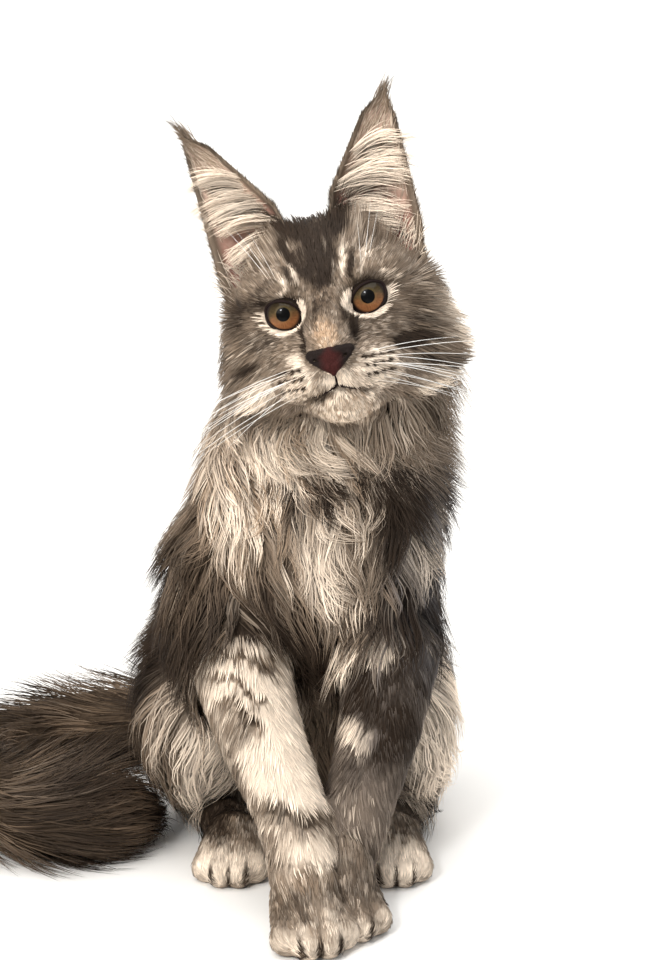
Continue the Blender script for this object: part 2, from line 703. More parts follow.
FACE_MARKS = [
    ("dark forehead", (0.3, 10, 21.5), (9.5, 24, 13), 0, (0, 1.15, 0.05)),
    ("dark crown", (0.5, 32, 39.0), (16, 28, 12), 0, (0, 0.75, 0.05)),
    ("dark crown left", (-9.8, 24, 40.4), (7, 22, 10), 20, (0, 0.65, 0)),
    ("dark crown right", (11.2, 30, 35.7), (6, 22, 8), -10, (0, 0.65, 0)),
    ("brown middle of the crown", (-2.4, 24, 35.5), (2.6, 22, 7), 6, (0.15, 0, 0.25)),
    ("light streak a", (-6.1, 8, 26.5), (1.2, 14, 8), 6, (0.35, 0, 0)),
    ("light streak b", (4.3, 8, 26.7), (1.2, 14, 7), 4, (0.5, 0, 0)),
    ("light fleck of the crown", (-0.5, 8, 29.4), (0.9, 20, 4), 0, (0.35, 0, 0.2)),
    ("light fleck of the forehead", (-1.6, 8, 14.9), (1.0, 20, 4), 6, (0.3, 0, 0.2)),
    ("light streak between", (7.0, 8, 18.4), (1.1, 14, 4.5), 0, (0.4, 0, 0)),
    ("light streak c", (12.0, 8, 17.9), (1.7, 14, 8), -4, (0.6, 0, 0)),
    ("dark streak c", (16.0, 8, 15.4), (1.6, 14, 8), -8, (0, 0.95, 0)),
    ("light streak d", (21.8, 10, 17.0), (1.8, 14, 8), -12, (0.5, 0, 0)),
    ("dark streak d", (-13.1, 10, 25.6), (2.2, 14, 10), 26, (0, 0.65, 0)),
    ("light streak e", (-11.8, 6, 15.5), (1.4, 14, 6), 22, (0.5, 0, 0)),
    ("dark between e and f", (-15.2, 8, 16.3), (1.2, 14, 7), 24, (0, 0.7, 0)),
    ("light streak f", (-18.8, 8, 16.3), (1.5, 14, 8), 28, (0.5, 0, 0)),
    ("brow light left", (-21.8, 6, 8.8), (8, 14, 1.3), 22, (0.5, 0, 0)),
    ("brow light right", (30.4, 10, 8.2), (8, 14, 1.3), -16, (0.5, 0, 0)),
    ("dark over brow left", (-26.2, 10, 14.7), (6, 14, 3), 25, (0, 0.35, 0)),
    ("between", (0.2, -10, 3.1), (6, 22, 11), 0, (0.05, 0.4, 0.3)),
    ("bridge", (0.1, -26, -14.3), (5.2, 24, 7.5), 0, (0, 0.1, 0.9)),
    ("bridge bright", (0.9, -32, -18.0), (3.6, 20, 3.0), 0, (0.2, 0, 0.4)),
    ("dark side of bridge left", (-12.0, -12, -15.7), (1.5, 22, 8), 8, (0, 0.85, 0)),
    ("dark side of bridge right", (11.8, -12, -12.9), (1.7, 22, 6), -18, (0, 0.85, 0)),
    ("beside bridge left", (-4.6, -12, -5.9), (2.0, 22, 8), 0, (0, 0.4, 0.2)),
    ("beside bridge right", (8.8, -12, -8.1), (2.0, 22, 6), 0, (0, 0.4, 0.2)),
    ("outer eye dark left", (-34.9, 16, 8.5), (6, 24, 4), 20, (0, 0.5, 0)),
    ("cheek dark left", (-42.9, 24, 2.1), (7, 24, 9), 0, (0, 0.55, 0)),
    ("cheek mid left", (-32.9, 10, -11.6), (9, 20, 6), 0, (0.15, 0.35, 0)),
    ("cheek spot left", (-41.7, 16, -21.9), (8, 20, 3), 20, (0, 0.6, 0)),
    ("beside nose left", (-14.9, -14, -26.5), (4, 22, 9), 38, (0.8, 0, 0.15)),
    ("beside nose right", (19.7, -14, -29.0), (8, 24, 4), -15, (0.75, 0, 0.05)),
    ("outer eye dark right", (40.1, 18, -3.4), (6, 24, 5), -20, (0, 0.35, 0)),
    ("cheek mottled right", (30.3, 8, -14.3), (10, 16, 6), -10, (0.15, 0.3, 0)),
    ("cheek dark right", (42.7, 20, -17.1), (8, 24, 6), -30, (0, 0.3, 0)),
    ("cheek black right", (36.0, 16, -23.8), (10, 30, 4.4), -8, (0, 1.6, 0)),
    ("cheek low dark right", (42.1, 22, -34.6), (9, 30, 2.4), -12, (0, 0.7, -0.1)),
    ("outer cheek light right", (58.4, 34, -9.1), (8, 30, 15), -20, (0.6, 0, 0.05)),
    ("outer cheek wisps right", (62.8, 36, -29.7), (10, 30, 13), 0, (0.6, 0, 0.0)),
    ("low cheek cream right", (47.2, 26, -48.3), (16, 30, 7), 0, (0.85, 0, 0.05)),
    ("outer cheek left", (-51.4, 36, 0.7), (6, 26, 14), 0, (0.3, 0.2, 0)),
    ("low cheek cream left", (-39.1, 20, -35.6), (14, 28, 7), 12, (0.75, 0, 0.1)),
    ("muzzle left", (-16.7, -18, -34.6), (12.5, 26, 8), 8, (0.6, 0.05, 0.3)),
    ("muzzle right", (18.2, -18, -35.9), (13.5, 26, 9), 8, (0.64, 0.05, 0.2)),
    ("muzzle middle", (0.2, -30, -35.6), (6, 22, 7), 0, (0.8, 0, 0.25)),
    ("chin", (1.0, -16, -50.5), (17, 30, 10), 0, (0.45, 0, 0.45)),
]

# Where the whiskers of the muzzle start, in rows: how far across, and the height
WHISKER_ROWS = (-28.2, -32.0, -36.6)
WHISKER_COLUMNS = (14.8, 18.4, 22.0, 25.6)
WHISKER_ROOTS = [(across, height) for height in WHISKER_ROWS for across in WHISKER_COLUMNS]

# The ground of each limb: how pale, dark and warm it is before its marks
GROUND = {
    "torso": (0.14, 0.36, 0.12),
    "neck": (0.24, 0.30, 0.08),
    "head": (0.16, 0.36, 0.05),
    "thigh_left": (0.30, 0.15, -0.2),
    "thigh_right": (0.30, 0.20, 0.1),
    "foreleg_left": (0.15, 0.20, -0.3),
    "foreleg_right": (0.35, 0.10, 0.05),
    "forepaw_left": (0.30, 0.15, -0.1),
    "forepaw_right": (0.35, 0.10, 0.05),
    "hind_foot_left": (0.30, 0.20, 0.05),
    "hind_foot_right": (0.35, 0.15, 0.10),
    "tail": (0.0, 0.8, 0.5),
}


def wandered(spots, reach, span):
    """The spots moved about a little, so that the edges of marks wander."""
    moved = spots.copy()
    for octave in (1.0, 2.3):
        wave = spots * (2 * math.pi * octave / span)
        for axis in range(3):
            one, two = (axis + 1) % 3, (axis + 2) % 3
            sway = np.sin(wave[:, one] + 1.7 * axis)
            moved[:, axis] += reach / octave * sway * np.cos(wave[:, two] * 0.8 + axis)
    return moved


def marks_from(table, spots, found):
    """Adds the marks of a table to what has been found so far at the spots."""
    for _, place, reach, turn, changes in table:
        away = spots - np.array(place)
        cos, sin = math.cos(math.radians(turn)), math.sin(math.radians(turn))
        level = away[:, 0] * cos + away[:, 2] * sin
        rise = away[:, 2] * cos - away[:, 0] * sin
        far = np.sqrt((level / reach[0]) ** 2 + (away[:, 1] / reach[1]) ** 2 + (rise / reach[2]) ** 2)
        share = smoothstep(1.45, 0.45, far)
        pale, dark, warm = changes
        found[:, 0] += share * (pale - found[:, 0] * (0.9 * dark))
        found[:, 1] += share * (dark - found[:, 1] * (0.95 * pale))
        found[:, 2] += share * (warm - found[:, 2] * abs(warm))


def lid_reach(spots, side):
    """How far a spot of the face is from the middle of an eye, where 1 is the edge of its lids."""
    across = (spots[:, 0] * side - EYE_SPACING / 2 / MM) * MM
    up = spots[:, 2] * MM
    level = across * math.cos(LID_TILT) + up * math.sin(LID_TILT)
    rise = up * math.cos(LID_TILT) - across * math.sin(LID_TILT)
    reach = np.hypot(level / LID_HALF_WIDTH, rise / np.where(rise > 0, UPPER_LID_HEIGHT, LOWER_LID_HEIGHT))
    return np.where(spots[:, 1] < 26, reach, 9.0)


def toes_in_shade(found, spots, paw, place, turn, size):
    """The dark clefts between the toes of one paw."""
    away = (spots[paw, :2] - place) / size
    across = away[:, 0] * math.cos(turn) + away[:, 1] * math.sin(turn)
    forward = away[:, 1] * math.cos(turn) - away[:, 0] * math.sin(turn)
    cleft = np.zeros(len(away))
    for gap in (-10.0, 0.0, 10.0):
        cleft = np.maximum(cleft, smoothstep(2.2, 0.4, np.abs(across - gap * (0.75 - forward / 90))))
    cleft = cleft * smoothstep(-14, -21, forward) * smoothstep(17, 9, spots[paw, 2])
    part = found[paw]
    part[:, 0] *= 1 - 0.7 * cleft
    part[:, 1] += 0.75 * cleft
    found[paw] = part


def lobe(angle, middle, width):
    """A soft bump from 0 to 1 round a middle angle, which is given in degrees."""
    away = np.angle(np.exp(1j * (angle - math.radians(middle))))
    return np.exp(-((away / width) ** 2))


def spectacles(found, face, side):
    """The cream edge round one eye, widest at its inner and lower side, and the dark line about it."""
    across = face[:, 0] * side - EYE_SPACING / 2 / MM
    angle = np.arctan2(face[:, 2], across)
    reach = lid_reach(face, side)
    width = 0.34 * lobe(angle, 176, 0.55) + 0.27 * lobe(angle, -80, 0.95) + 0.16 * lobe(angle, 2, 0.35)
    cream = smoothstep(1.17 + width, 1.07 + width, reach) * smoothstep(0.07, 0.13, width)
    line = smoothstep(1.55 + width, 1.2 + width, reach) * (1 - cream)
    found[:, 1] += line * (0.3 + 0.4 * smoothstep(0.0, 1.0, np.sin(angle))) * (1 - found[:, 0])
    found[:, 0] = np.maximum(found[:, 0] * (1 - 0.6 * line), cream * 0.95)
    found[:, 1] *= 1 - cream
    found[:, 2] *= 1 - cream


def markings(points, normals, limb, along):
    """How pale, dark and warm the coat is at each point; the skin and the coat both use it."""
    found = np.zeros((len(points), 3))
    for index, name in enumerate(LIMB_NAMES):
        found[limb == index] = GROUND[name]
    body = ~limb_is(limb, "head")
    spots = points / MM
    part = found[body]
    marks_from(BODY_MARKS, wandered(spots[body], 5.0, 45.0), part)
    found[body] = part
    for name, ((x, y), turn, size) in PAWS.items():
        toes_in_shade(found, spots, limb_is(limb, name), np.array((x, y)), math.radians(turn), size)
    tail = limb_is(limb, "tail")
    found[tail, 0] += 0.1 * smoothstep(0.2, 0.9, normals[tail, 2])
    found[tail, 1] += 0.08 * np.sin(along[tail] * 3.2)
    head = limb_is(limb, "head")
    face = into_frame(points[head], HEAD_FRAME)
    part = found[head]
    marks_from(FACE_MARKS, wandered(face, 0.9, 11.0), part)
    for side in (-1, 1):
        spectacles(part, face, side)
        for across, height in WHISKER_ROOTS:
            far = np.hypot((face[:, 0] - side * across) / 1.45, face[:, 2] - height - 0.6)
            dot = smoothstep(1.35, 0.7, far) * (face[:, 1] < 0)
            part[:, 0] *= 1 - dot
            part[:, 1] += dot * 0.9
    pad = (np.abs(face[:, 0]) < 1.15 * (face[:, 2] + 32)) & (face[:, 2] < -20.8) & (face[:, 1] < -24)
    part[pad] = (0.0, 1.3, 0.0)
    line = np.interp(np.abs(face[:, 0]), LIP_ACROSS, LIP_HEIGHT)
    mouth = smoothstep(2.6, 0.3, np.abs(face[:, 2] - line + 0.8)) * smoothstep(24, 8, np.abs(face[:, 0]))
    mouth *= face[:, 1] < 6
    part[:, 0] *= 1 - 0.55 * mouth
    part[:, 1] += 0.55 * mouth
    found[head] = part
    return np.clip(found, (0, 0, -1), (1, 1.3, 1))


# Lengths of the coat of the head, in millimetres, at named places of its left half
HEAD_LENGTHS = [
    ("bridge", (0, -14, -8), 2.6),
    ("nose", (0, -32, -20), 1.8),
    ("between the eyes", (0, 2, 6), 3.4),
    ("upper lid", (21, 3, 13), 3.2),
    ("under the eye", (20, 0, -14), 3.2),
    ("muzzle", (14, -24, -32), 3.0),
    ("muzzle side", (24, -6, -32), 4.5),
    ("chin", (0, -22, -46), 2.6),
    ("under the chin", (0, -8, -58), 9.0),
    ("forehead", (0, 10, 28), 6.0),
    ("crown", (0, 42, 46), 12.0),
    ("foot of the ear", (30, 26, 31), 10.0),
    ("brow", (34, 17, 14), 6.5),
    ("cheek", (36, 18, -12), 9.0),
    ("jaw", (28, 8, -42), 13.0),
    ("cheek ruff", (50, 38, -16), 21.0),
    ("lower ruff", (46, 34, -44), 34.0),
    ("nape", (0, 80, 0), 30.0),
    ("throat", (0, 14, -62), 18.0),
]


def folded(spots):
    """The spots of the head with its right half laid on the left one."""
    half = spots.copy()
    half[:, 0] = np.abs(half[:, 0])
    return half


def head_length(spots):
    """The length of the coat on the head, blended between the named places."""
    total, share = 0, 0
    half = folded(spots)
    for _, place, length in HEAD_LENGTHS:
        near = 1 / (((half - np.array(place)) ** 2).sum(1) + 30) ** 1.6
        total = total + near * length
        share = share + near
    return total / share


# The line of the mouth in the head's frame: how far across, and its height there
LIP_ACROSS = (0.0, 2.5, 5.0, 8.0, 11.0, 14.0, 17.0)
LIP_HEIGHT = (-38.2, -39.4, -40.4, -41.3, -41.8, -41.9, -41.6)


class Style(NamedTuple):
    """How one piece of the coat grows; widths, lifts and waves are in millimetres."""

    count: int
    rings: int
    width: float
    lift: float
    wave: float
    hook: float
    reach: float
    lock: int
    clump: float
    slot: str


STYLES = {
    "coat_face_left": Style(10000, 2, 0.47, 0.9, 0.0, 0.0, 1.0, 7, 0.25, "head_coat"),
    "coat_face_right": Style(10000, 2, 0.47, 0.9, 0.0, 0.0, 1.0, 7, 0.25, "head_coat"),
    "coat_crown": Style(5100, 3, 0.58, 2.4, 0.1, 0.2, 1.0, 9, 0.4, "head_coat"),
    "coat_cheeks": Style(4700, 4, 0.72, 5.0, 0.2, 0.3, 1.0, 14, 0.55, "head_coat"),
    "coat_ruff": Style(4400, 5, 0.84, 9.0, 0.5, 0.35, 0.95, 20, 0.76, "ruff_coat"),
    "coat_collar": Style(2500, 6, 0.8, 12.0, 0.8, 1.0, 0.66, 24, 0.9, "ruff_coat"),
    "coat_chest": Style(5400, 5, 0.86, 9.5, 0.7, 0.45, 0.9, 24, 0.85, "ruff_coat"),
    "coat_side_left": Style(3000, 4, 1.0, 8.5, 0.35, 0.25, 1.0, 16, 0.72, "body_coat"),
    "coat_side_right": Style(3000, 4, 1.0, 8.5, 0.35, 0.25, 1.0, 16, 0.72, "body_coat"),
    "coat_back": Style(2300, 4, 1.2, 8.0, 0.2, 0.15, 1.0, 14, 0.65, "body_coat"),
    "coat_britches_left": Style(2700, 5, 0.92, 9.5, 0.6, 0.5, 1.1, 20, 0.82, "hind_coat"),
    "coat_britches_right": Style(2700, 5, 0.92, 9.5, 0.6, 0.5, 1.1, 20, 0.82, "hind_coat"),
    "coat_forelegs": Style(8800, 2, 0.72, 1.6, 0.08, 0.1, 1.0, 8, 0.4, "leg_coat"),
    "coat_paws": Style(9500, 2, 0.66, 1.0, 0.05, 0.0, 1.0, 7, 0.3, "paw_coat"),
    "coat_tail": Style(4600, 4, 0.85, 9.5, 0.22, 0.12, 1.0, 12, 0.4, "tail_coat"),
}


def bare(spots):
    """Where the face has no coat: inside the lids, on the nose and along the mouth."""
    open_eye = (lid_reach(spots, 1) < 1.12) | (lid_reach(spots, -1) < 1.12)
    pad_width = 10.5 * (spots[:, 2] + 32) / 11
    pad = (np.abs(spots[:, 0]) < pad_width) & (spots[:, 2] < -20.5) & (spots[:, 1] < -27)
    line = np.interp(np.abs(spots[:, 0]), LIP_ACROSS, LIP_HEIGHT)
    mouth = (np.abs(spots[:, 2] - line) < 0.8) & (np.abs(spots[:, 0]) < 10) & (spots[:, 1] < 4)
    groove = (np.abs(spots[:, 0]) < 0.7) & (np.abs(spots[:, 2] + 35) < 4) & (spots[:, 1] < -20)
    return open_eye | pad | mouth | groove


# Where one piece of the coat ends and the next starts: how long the hair of the head is, in
# millimetres, which way the skin faces, and the collar's heights, middle and half width
FACE_HAIR = 8
CROWN_HAIR = 14
FACING_FRONT = -0.25
FACING_BACK = 0.5
COLLAR_BOTTOM = 0.208
COLLAR_TOP = 0.258
COLLAR_MIDDLE = 0.016
COLLAR_HALF_WIDTH = 0.052


def coat_areas(surface):
    """For each piece of the coat, how densely it grows on each triangle of the skin."""
    limb, points, facing = surface.limbs, surface.centres, surface.flat
    spots = into_frame(points, HEAD_FRAME)
    head = limb_is(limb, "head")
    length = head_length(spots)
    grown = head & ~bare(spots)
    left = spots[:, 0] >= 0
    trunk = limb_is(limb, "torso")
    front = facing[:, 1] < FACING_FRONT
    behind = facing[:, 1] > FACING_BACK
    collar = (points[:, 2] > COLLAR_BOTTOM) & (points[:, 2] < COLLAR_TOP)
    collar &= np.abs(points[:, 0] - COLLAR_MIDDLE) < COLLAR_HALF_WIDTH
    tail_end = smoothstep(-0.17, -0.13, points[:, 0]) * (points[:, 1] < -0.03)
    tail_top = smoothstep(-0.2, -0.15, points[:, 0]) * (points[:, 1] > 0) * (points[:, 2] > 0.055)
    areas = {
        "coat_face_left": grown & (length < FACE_HAIR) & left,
        "coat_face_right": grown & (length < FACE_HAIR) & ~left,
        "coat_crown": grown & (length >= FACE_HAIR) & (length < CROWN_HAIR),
        "coat_cheeks": grown & (length >= CROWN_HAIR),
        "coat_ruff": limb_is(limb, "neck") & (facing[:, 2] < 0.9),
        "coat_collar": (trunk | limb_is(limb, "neck")) & front & collar,
        "coat_chest": trunk & front & (points[:, 2] > 0.05),
        "coat_side_left": trunk & ~front & ~behind & (points[:, 0] > 0),
        "coat_side_right": trunk & ~front & ~behind & (points[:, 0] <= 0),
        "coat_back": trunk & behind,
        "coat_britches_left": limb_is(limb, "thigh_left"),
        "coat_britches_right": limb_is(limb, "thigh_right"),
        "coat_forelegs": limb_is(limb, "foreleg"),
        "coat_paws": limb_is(limb, "forepaw", "hind_foot") & (facing[:, 2] > -0.6),
        "coat_tail": limb_is(limb, "tail") * (1 + 1.4 * tail_end + 2.2 * tail_top),
    }
    thin = np.where(head, length ** -0.75, 1.0)
    return {name: where * thin for name, where in areas.items()}


def coat_length(roots, settings):
    """The length of the coat at each root, in metres."""
    height = roots.points[:, 2]
    length = np.full(len(height), settings.body_length)
    torso = limb_is(roots.limb, "torso")
    front = smoothstep(-0.07, -0.1, roots.points[:, 1])
    length[torso] = settings.body_length * (0.75 + 0.3 * smoothstep(0.03, 0.12, height[torso]))
    length[torso] += (settings.ruff_length - settings.body_length) * front[torso]
    length[limb_is(roots.limb, "neck")] = settings.ruff_length
    thigh = limb_is(roots.limb, "thigh")
    length[thigh] *= 1 + 0.25 * smoothstep(0.11, 0.05, height[thigh])
    leg = limb_is(roots.limb, "foreleg")
    outer = smoothstep(0.4, 0.95, np.abs(roots.normals[:, 0])) * smoothstep(0.07, 0.11, height)
    feather = np.maximum(smoothstep(0.2, 0.9, roots.normals[:, 1]), 0.6 * outer)
    length[leg] = ((8 + 5 * smoothstep(0.12, 0.15, height) + 10 * feather) * MM)[leg]
    foot = limb_is(roots.limb, "forepaw", "hind_foot")
    length[foot] = ((4.6 + 4.0 * smoothstep(0.012, 0.03, height)) * MM)[foot]
    length[limb_is(roots.limb, "tail")] = settings.tail_length
    head = limb_is(roots.limb, "head")
    length[head] = head_length(into_frame(roots.points[head], HEAD_FRAME)) * MM
    return length


# Where the ears stand on the head, with hair that rises in front of them
EAR_FEET = ((15, 28, 38), (26, 24, 34), (38, 24, 24), (48, 26, 12))
EAR_FOOT_REACH = 11


def coat_flare(roots):
    """How far the tips stand away from where the skin would lead them, in metres.

    The cheeks fan outwards, hair rises round the ears, the ruff widens and the tail is fluffed up.
    """
    flare = np.zeros_like(roots.points)
    head = limb_is(roots.limb, "head")
    spots = into_frame(roots.points[head], HEAD_FRAME)
    side = np.sign(spots[:, 0])
    far = smoothstep(30, 50, np.abs(spots[:, 0])) * smoothstep(0, 26, spots[:, 1])
    low = smoothstep(16, -40, spots[:, 2])
    wide = np.where(side > 0, 3.5 + 6 * low, 1.5 + 3 * low) * smoothstep(34, 12, spots[:, 2])
    fan = columns(side * wide, -1.0, 0.0) * far[:, None]
    for place in EAR_FEET:
        near = np.exp(-(((folded(spots) - np.array(place)) ** 2).sum(1) / EAR_FOOT_REACH ** 2))
        fan += columns(side * 2.0, -2.0, 6.0) * near[:, None]
    flare[head] = out_of_frame(fan * MM, HEAD_FRAME)
    side = roots.normals[:, 0]
    height = roots.points[:, 2]
    neck = limb_is(roots.limb, "neck")
    flare[neck, 0] += (18 * MM * smoothstep(0.2, 0.8, side) - 2 * MM * smoothstep(0.2, 0.8, -side))[neck]
    torso = limb_is(roots.limb, "torso")
    collar = smoothstep(0.185, 0.235, height) * 13 * MM * smoothstep(0.3, 0.9, side)
    flank = smoothstep(0.22, 0.185, height) * smoothstep(0.09, 0.12, height) * 10 * MM
    flank *= smoothstep(0.4, 0.9, -side)
    flare[torso, 0] += (collar - flank)[torso]
    tail = limb_is(roots.limb, "tail")
    rise = 0.2 + 0.7 * smoothstep(0.0, -0.05, roots.points[:, 1])
    root_end = smoothstep(-0.2, -0.12, roots.points[:, 0]) * (roots.points[:, 1] > 0)
    rise += 1.6 * root_end * (roots.normals[:, 2] > 0.2)
    flare[tail] += (roots.normals * columns(0.35, 1.0, rise) * 10 * MM)[tail]
    end = smoothstep(-0.2, -0.14, roots.points[:, 0]) * smoothstep(-0.112, -0.14, roots.points[:, 0])
    end *= (roots.points[:, 1] < -0.04) * (roots.normals[:, 2] > 0)
    flare[tail, 0] += (7 * MM * end)[tail]
    flare[tail, 2] += (20 * MM * end)[tail]
    near = smoothstep(-0.12, -0.16, roots.points[:, 0]) * smoothstep(0.2, 0.8, -roots.normals[:, 1])
    flare[tail, 1] -= (8 * MM * near)[tail]
    flare[tail, 2] -= (3 * MM * near)[tail]
    return flare


def comb(surface, roots, lengths, style, random):
    """Paths from the roots along the skin: (bends + 1, roots, 3), and the skin's normals there."""
    bends = style.rings
    place, normal, way = surface.nearest(roots.points)
    swirl = wandered(roots.points / MM, 9.0, 70.0)
    phase = swirl[:, 0] / 7.0 + swirl[:, 2] / 17.0 + random.normal(0, 0.6, len(place))
    drift = np.sin(swirl[:, 0] / 13.0 + 0.9) + 0.6 * np.sin(swirl[:, 2] / 9.0)
    hook = style.hook * (0.25 + 0.8 * drift + random.normal(0, 0.2, len(place)))
    paths, ups = [place], [roots.normals]
    for bend in range(1, bends + 1):
        share = bend / bends
        side = np.cross(normal, way)
        turn = (style.wave * np.sin(phase + share * 6.6) + hook * share ** 1.6)[:, None]
        step = unit(way * np.cos(turn) + side * np.sin(turn))
        place, normal, way = surface.nearest(place + step * lengths[:, None] / bends)
        rise = style.lift * MM * (1 - (1 - share) ** 2)
        paths.append(place + normal * rise)
        ups.append(normal)
    paths = np.array(paths)
    for _ in range(2):
        paths[1:-1] = (paths[:-2] + 2 * paths[1:-1] + paths[2:]) / 4
    return paths, np.array(ups)


# Past this far to the left the locks lie closer
WIDE = 0.092


def spread(vectors, *axes):
    """The parts of the vectors along three axes."""
    return [(vectors * axis).sum(-1, keepdims=True) for axis in axes]


def grown_paths(surface, roots, lengths, style, random):
    """A path for each root: it follows the lock that it belongs to, and draws together at the tip."""
    locks = max(1, len(lengths) // style.lock)
    leaders = roots.keep(slice(0, locks))
    guides, ups = comb(surface, leaders, lengths[:locks] * random.uniform(0.85, 1.1, locks), style, random)
    index = KDTree(locks)
    for number, point in enumerate(leaders.points.tolist()):
        index.insert(point, number)
    index.balance()
    lock = np.array([index.find(point)[1] for point in roots.points.tolist()])
    normal = leaders.normals[lock]
    way = leaders.ways[lock]
    ahead, aside, above = spread(guides[:, lock] - guides[0, lock], way, np.cross(normal, way), normal)
    reach = (lengths / lengths[lock] * random.uniform(0.6, 1.1, len(lock)))[:, None]
    height = random.uniform(0.55, 1.05, len(lock))[:, None]
    side = np.cross(roots.normals, roots.ways)
    stray = random.normal(0, 1, (len(lock), 1)) * 0.07
    own = roots.points + reach * (
        ahead * roots.ways + (aside + stray * ahead) * side + above * height * roots.normals
    )
    share = np.linspace(0, 1, style.rings + 1)[:, None, None]
    pull = style.clump * random.uniform(0.5, 1.15, len(lock))[:, None] * share ** 1.4
    start = guides[0, lock]
    target = start + (guides[:, lock] - start) * reach
    target += (roots.points - start) * (1 - pull) * 0.35
    paths = own * (1 - pull) + target * pull
    paths += coat_flare(roots) * share ** 1.6 * random.uniform(0.6, 1.1, len(lock))[:, None]
    paths[..., 0] = np.minimum(paths[..., 0], WIDE + (paths[..., 0] - WIDE) * 0.45)
    paths[..., 2] = np.maximum(paths[..., 2], FLOOR_ROOM)
    roots.draws = random.random((locks, 2))[lock]
    return paths, ups[:, lock]


# The cross-section of a tuft, across it and over the skin, for a width of 2; how far its normals
# turn from the skin's; and the size of its patch on the unwrap
CORNERS = ((1.0, -0.2), (-1.0, -0.2), (0.0, 0.4))
SOFT_SHARE = 0.32
TUFT_PATCH = 0.003


def blades(paths, ups, widths):
    """Closed three-sided tufts along paths, from the root to a point: vertices, normals, triangles.

    The normals lean towards the skin's, so that the coat takes the light as one soft surface.
    """
    bends, count = len(paths) - 1, paths.shape[1]
    ways = unit(np.gradient(paths, axis=0))
    sides = unit(np.cross(ways, ups))
    tops = np.cross(sides, ways)
    corners, normals = [], []
    for ring in range(bends):
        share = ring / bends
        half = (widths * (0.8 + 0.45 * share) * (1 - share ** 2.0) / 2)[:, None]
        for across, over in CORNERS:
            outward = sides[ring] * across + tops[ring] * over
            corners.append(paths[ring] + outward * half)
            normals.append(unit(ups[ring] + SOFT_SHARE * unit(outward)))
    corners.append(paths[bends])
    normals.append(ups[bends])
    faces = [(0, 2, 1)]
    for ring in range(bends - 1):
        low, high = ring * 3, ring * 3 + 3
        for a, b in ((2, 0), (1, 2), (0, 1)):
            faces += [(low + a, low + b, high + b), (low + a, high + b, high + a)]
    last = (bends - 1) * 3
    faces += [(last + a, last + b, bends * 3) for a, b in ((2, 0), (1, 2), (0, 1))]
    first = np.arange(count)[:, None, None] * (bends * 3 + 1)
    return np.stack(corners, 1), np.stack(normals, 1), (first + np.array(faces)).reshape(-1, 3)


def mesh_piece(name, points, triangles, **attributes):
    """A new object of triangles with vector attributes at its points."""
    mesh = bpy.data.meshes.new(name)
    mesh.vertices.add(len(points))
    mesh.vertices.foreach_set("co", points.ravel())
    mesh.loops.add(triangles.size)
    mesh.loops.foreach_set("vertex_index", triangles.ravel().astype(np.int32))
    mesh.polygons.add(len(triangles))
    mesh.polygons.foreach_set("loop_start", np.arange(0, triangles.size, 3, dtype=np.int32))
    mesh.update(calc_edges=True)
    mesh.shade_smooth()
    piece = linked(name, mesh)
    add_attributes(piece, **attributes)
    return piece


def add_attributes(piece, **attributes):
    """Stores vectors at the points of the piece for its material."""
    for name, values in attributes.items():
        layer = piece.data.attributes.new(name, "FLOAT_VECTOR", "POINT")
        layer.data.foreach_set("vector", np.ascontiguousarray(values, np.float32).ravel())


def tufts(name, roots, paths, ups, widths, random):
    """One piece of the coat from its paths, with what its material reads and its patches."""
    bends, count = len(paths) - 1, len(widths)
    points, normals, triangles = blades(paths, ups, widths)
    per_tuft = bends * 3 + 1
    share = np.append(np.repeat(np.arange(bends) / bends, 3), 1.0)
    strand = np.empty((count, per_tuft, 3))
    strand[:, :, 0] = share
    strand[:, :, 1:] = (0.65 * roots.draws + 0.35 * random.random((count, 2)))[:, None]
    piece = mesh_piece(
        name,
        points.reshape(-1, 3),
        triangles,
        root=np.repeat(roots.points, per_tuft, 0),
        marks=np.repeat(roots.marks, per_tuft, 0),
        strand=strand.reshape(-1, 3),
    )
    piece.data.normals_split_custom_set_from_vertices(normals.reshape(-1, 3))
    across = np.append(np.tile([corner[0] for corner in CORNERS], bends), 0.0)
    patch = np.stack((across / 2, share), 1) * TUFT_PATCH
    places = (roots.unwrap[:, None] + patch).reshape(-1, 2)
    layer = piece.data.uv_layers.new(name="OFBake")
    layer.data.foreach_set("uv", places[triangles.ravel()].astype(np.float32).ravel())
    return piece


def finish_piece(piece, material, slot, *nodes):
    """Gives the piece its material, slot and body, and hides the solids that it stands for."""
    piece.data.materials.clear()
    piece.data.materials.append(material)
    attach(piece, "root")
    if nodes:
        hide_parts(*nodes)


class Value:
    """A number socket of a shader, so that its maths reads as a Python expression."""

    def __init__(self, shader, socket):
        self.shader = shader
        self.socket = socket

    def maths(self, operation, first, second):
        made = self.shader.node("ShaderNodeMath", {"operation": operation}, {0: first, 1: second})
        return Value(self.shader, made.outputs[0])

    def __add__(self, other):
        return self.maths("ADD", self, other)

    def __radd__(self, other):
        return self.maths("ADD", other, self)

    def __sub__(self, other):
        return self.maths("SUBTRACT", self, other)

    def __rsub__(self, other):
        return self.maths("SUBTRACT", other, self)

    def __mul__(self, other):
        return self.maths("MULTIPLY", self, other)

    def __rmul__(self, other):
        return self.maths("MULTIPLY", other, self)

    def __truediv__(self, other):
        return self.maths("DIVIDE", self, other)

    def __pow__(self, other):
        return self.maths("POWER", self, other)


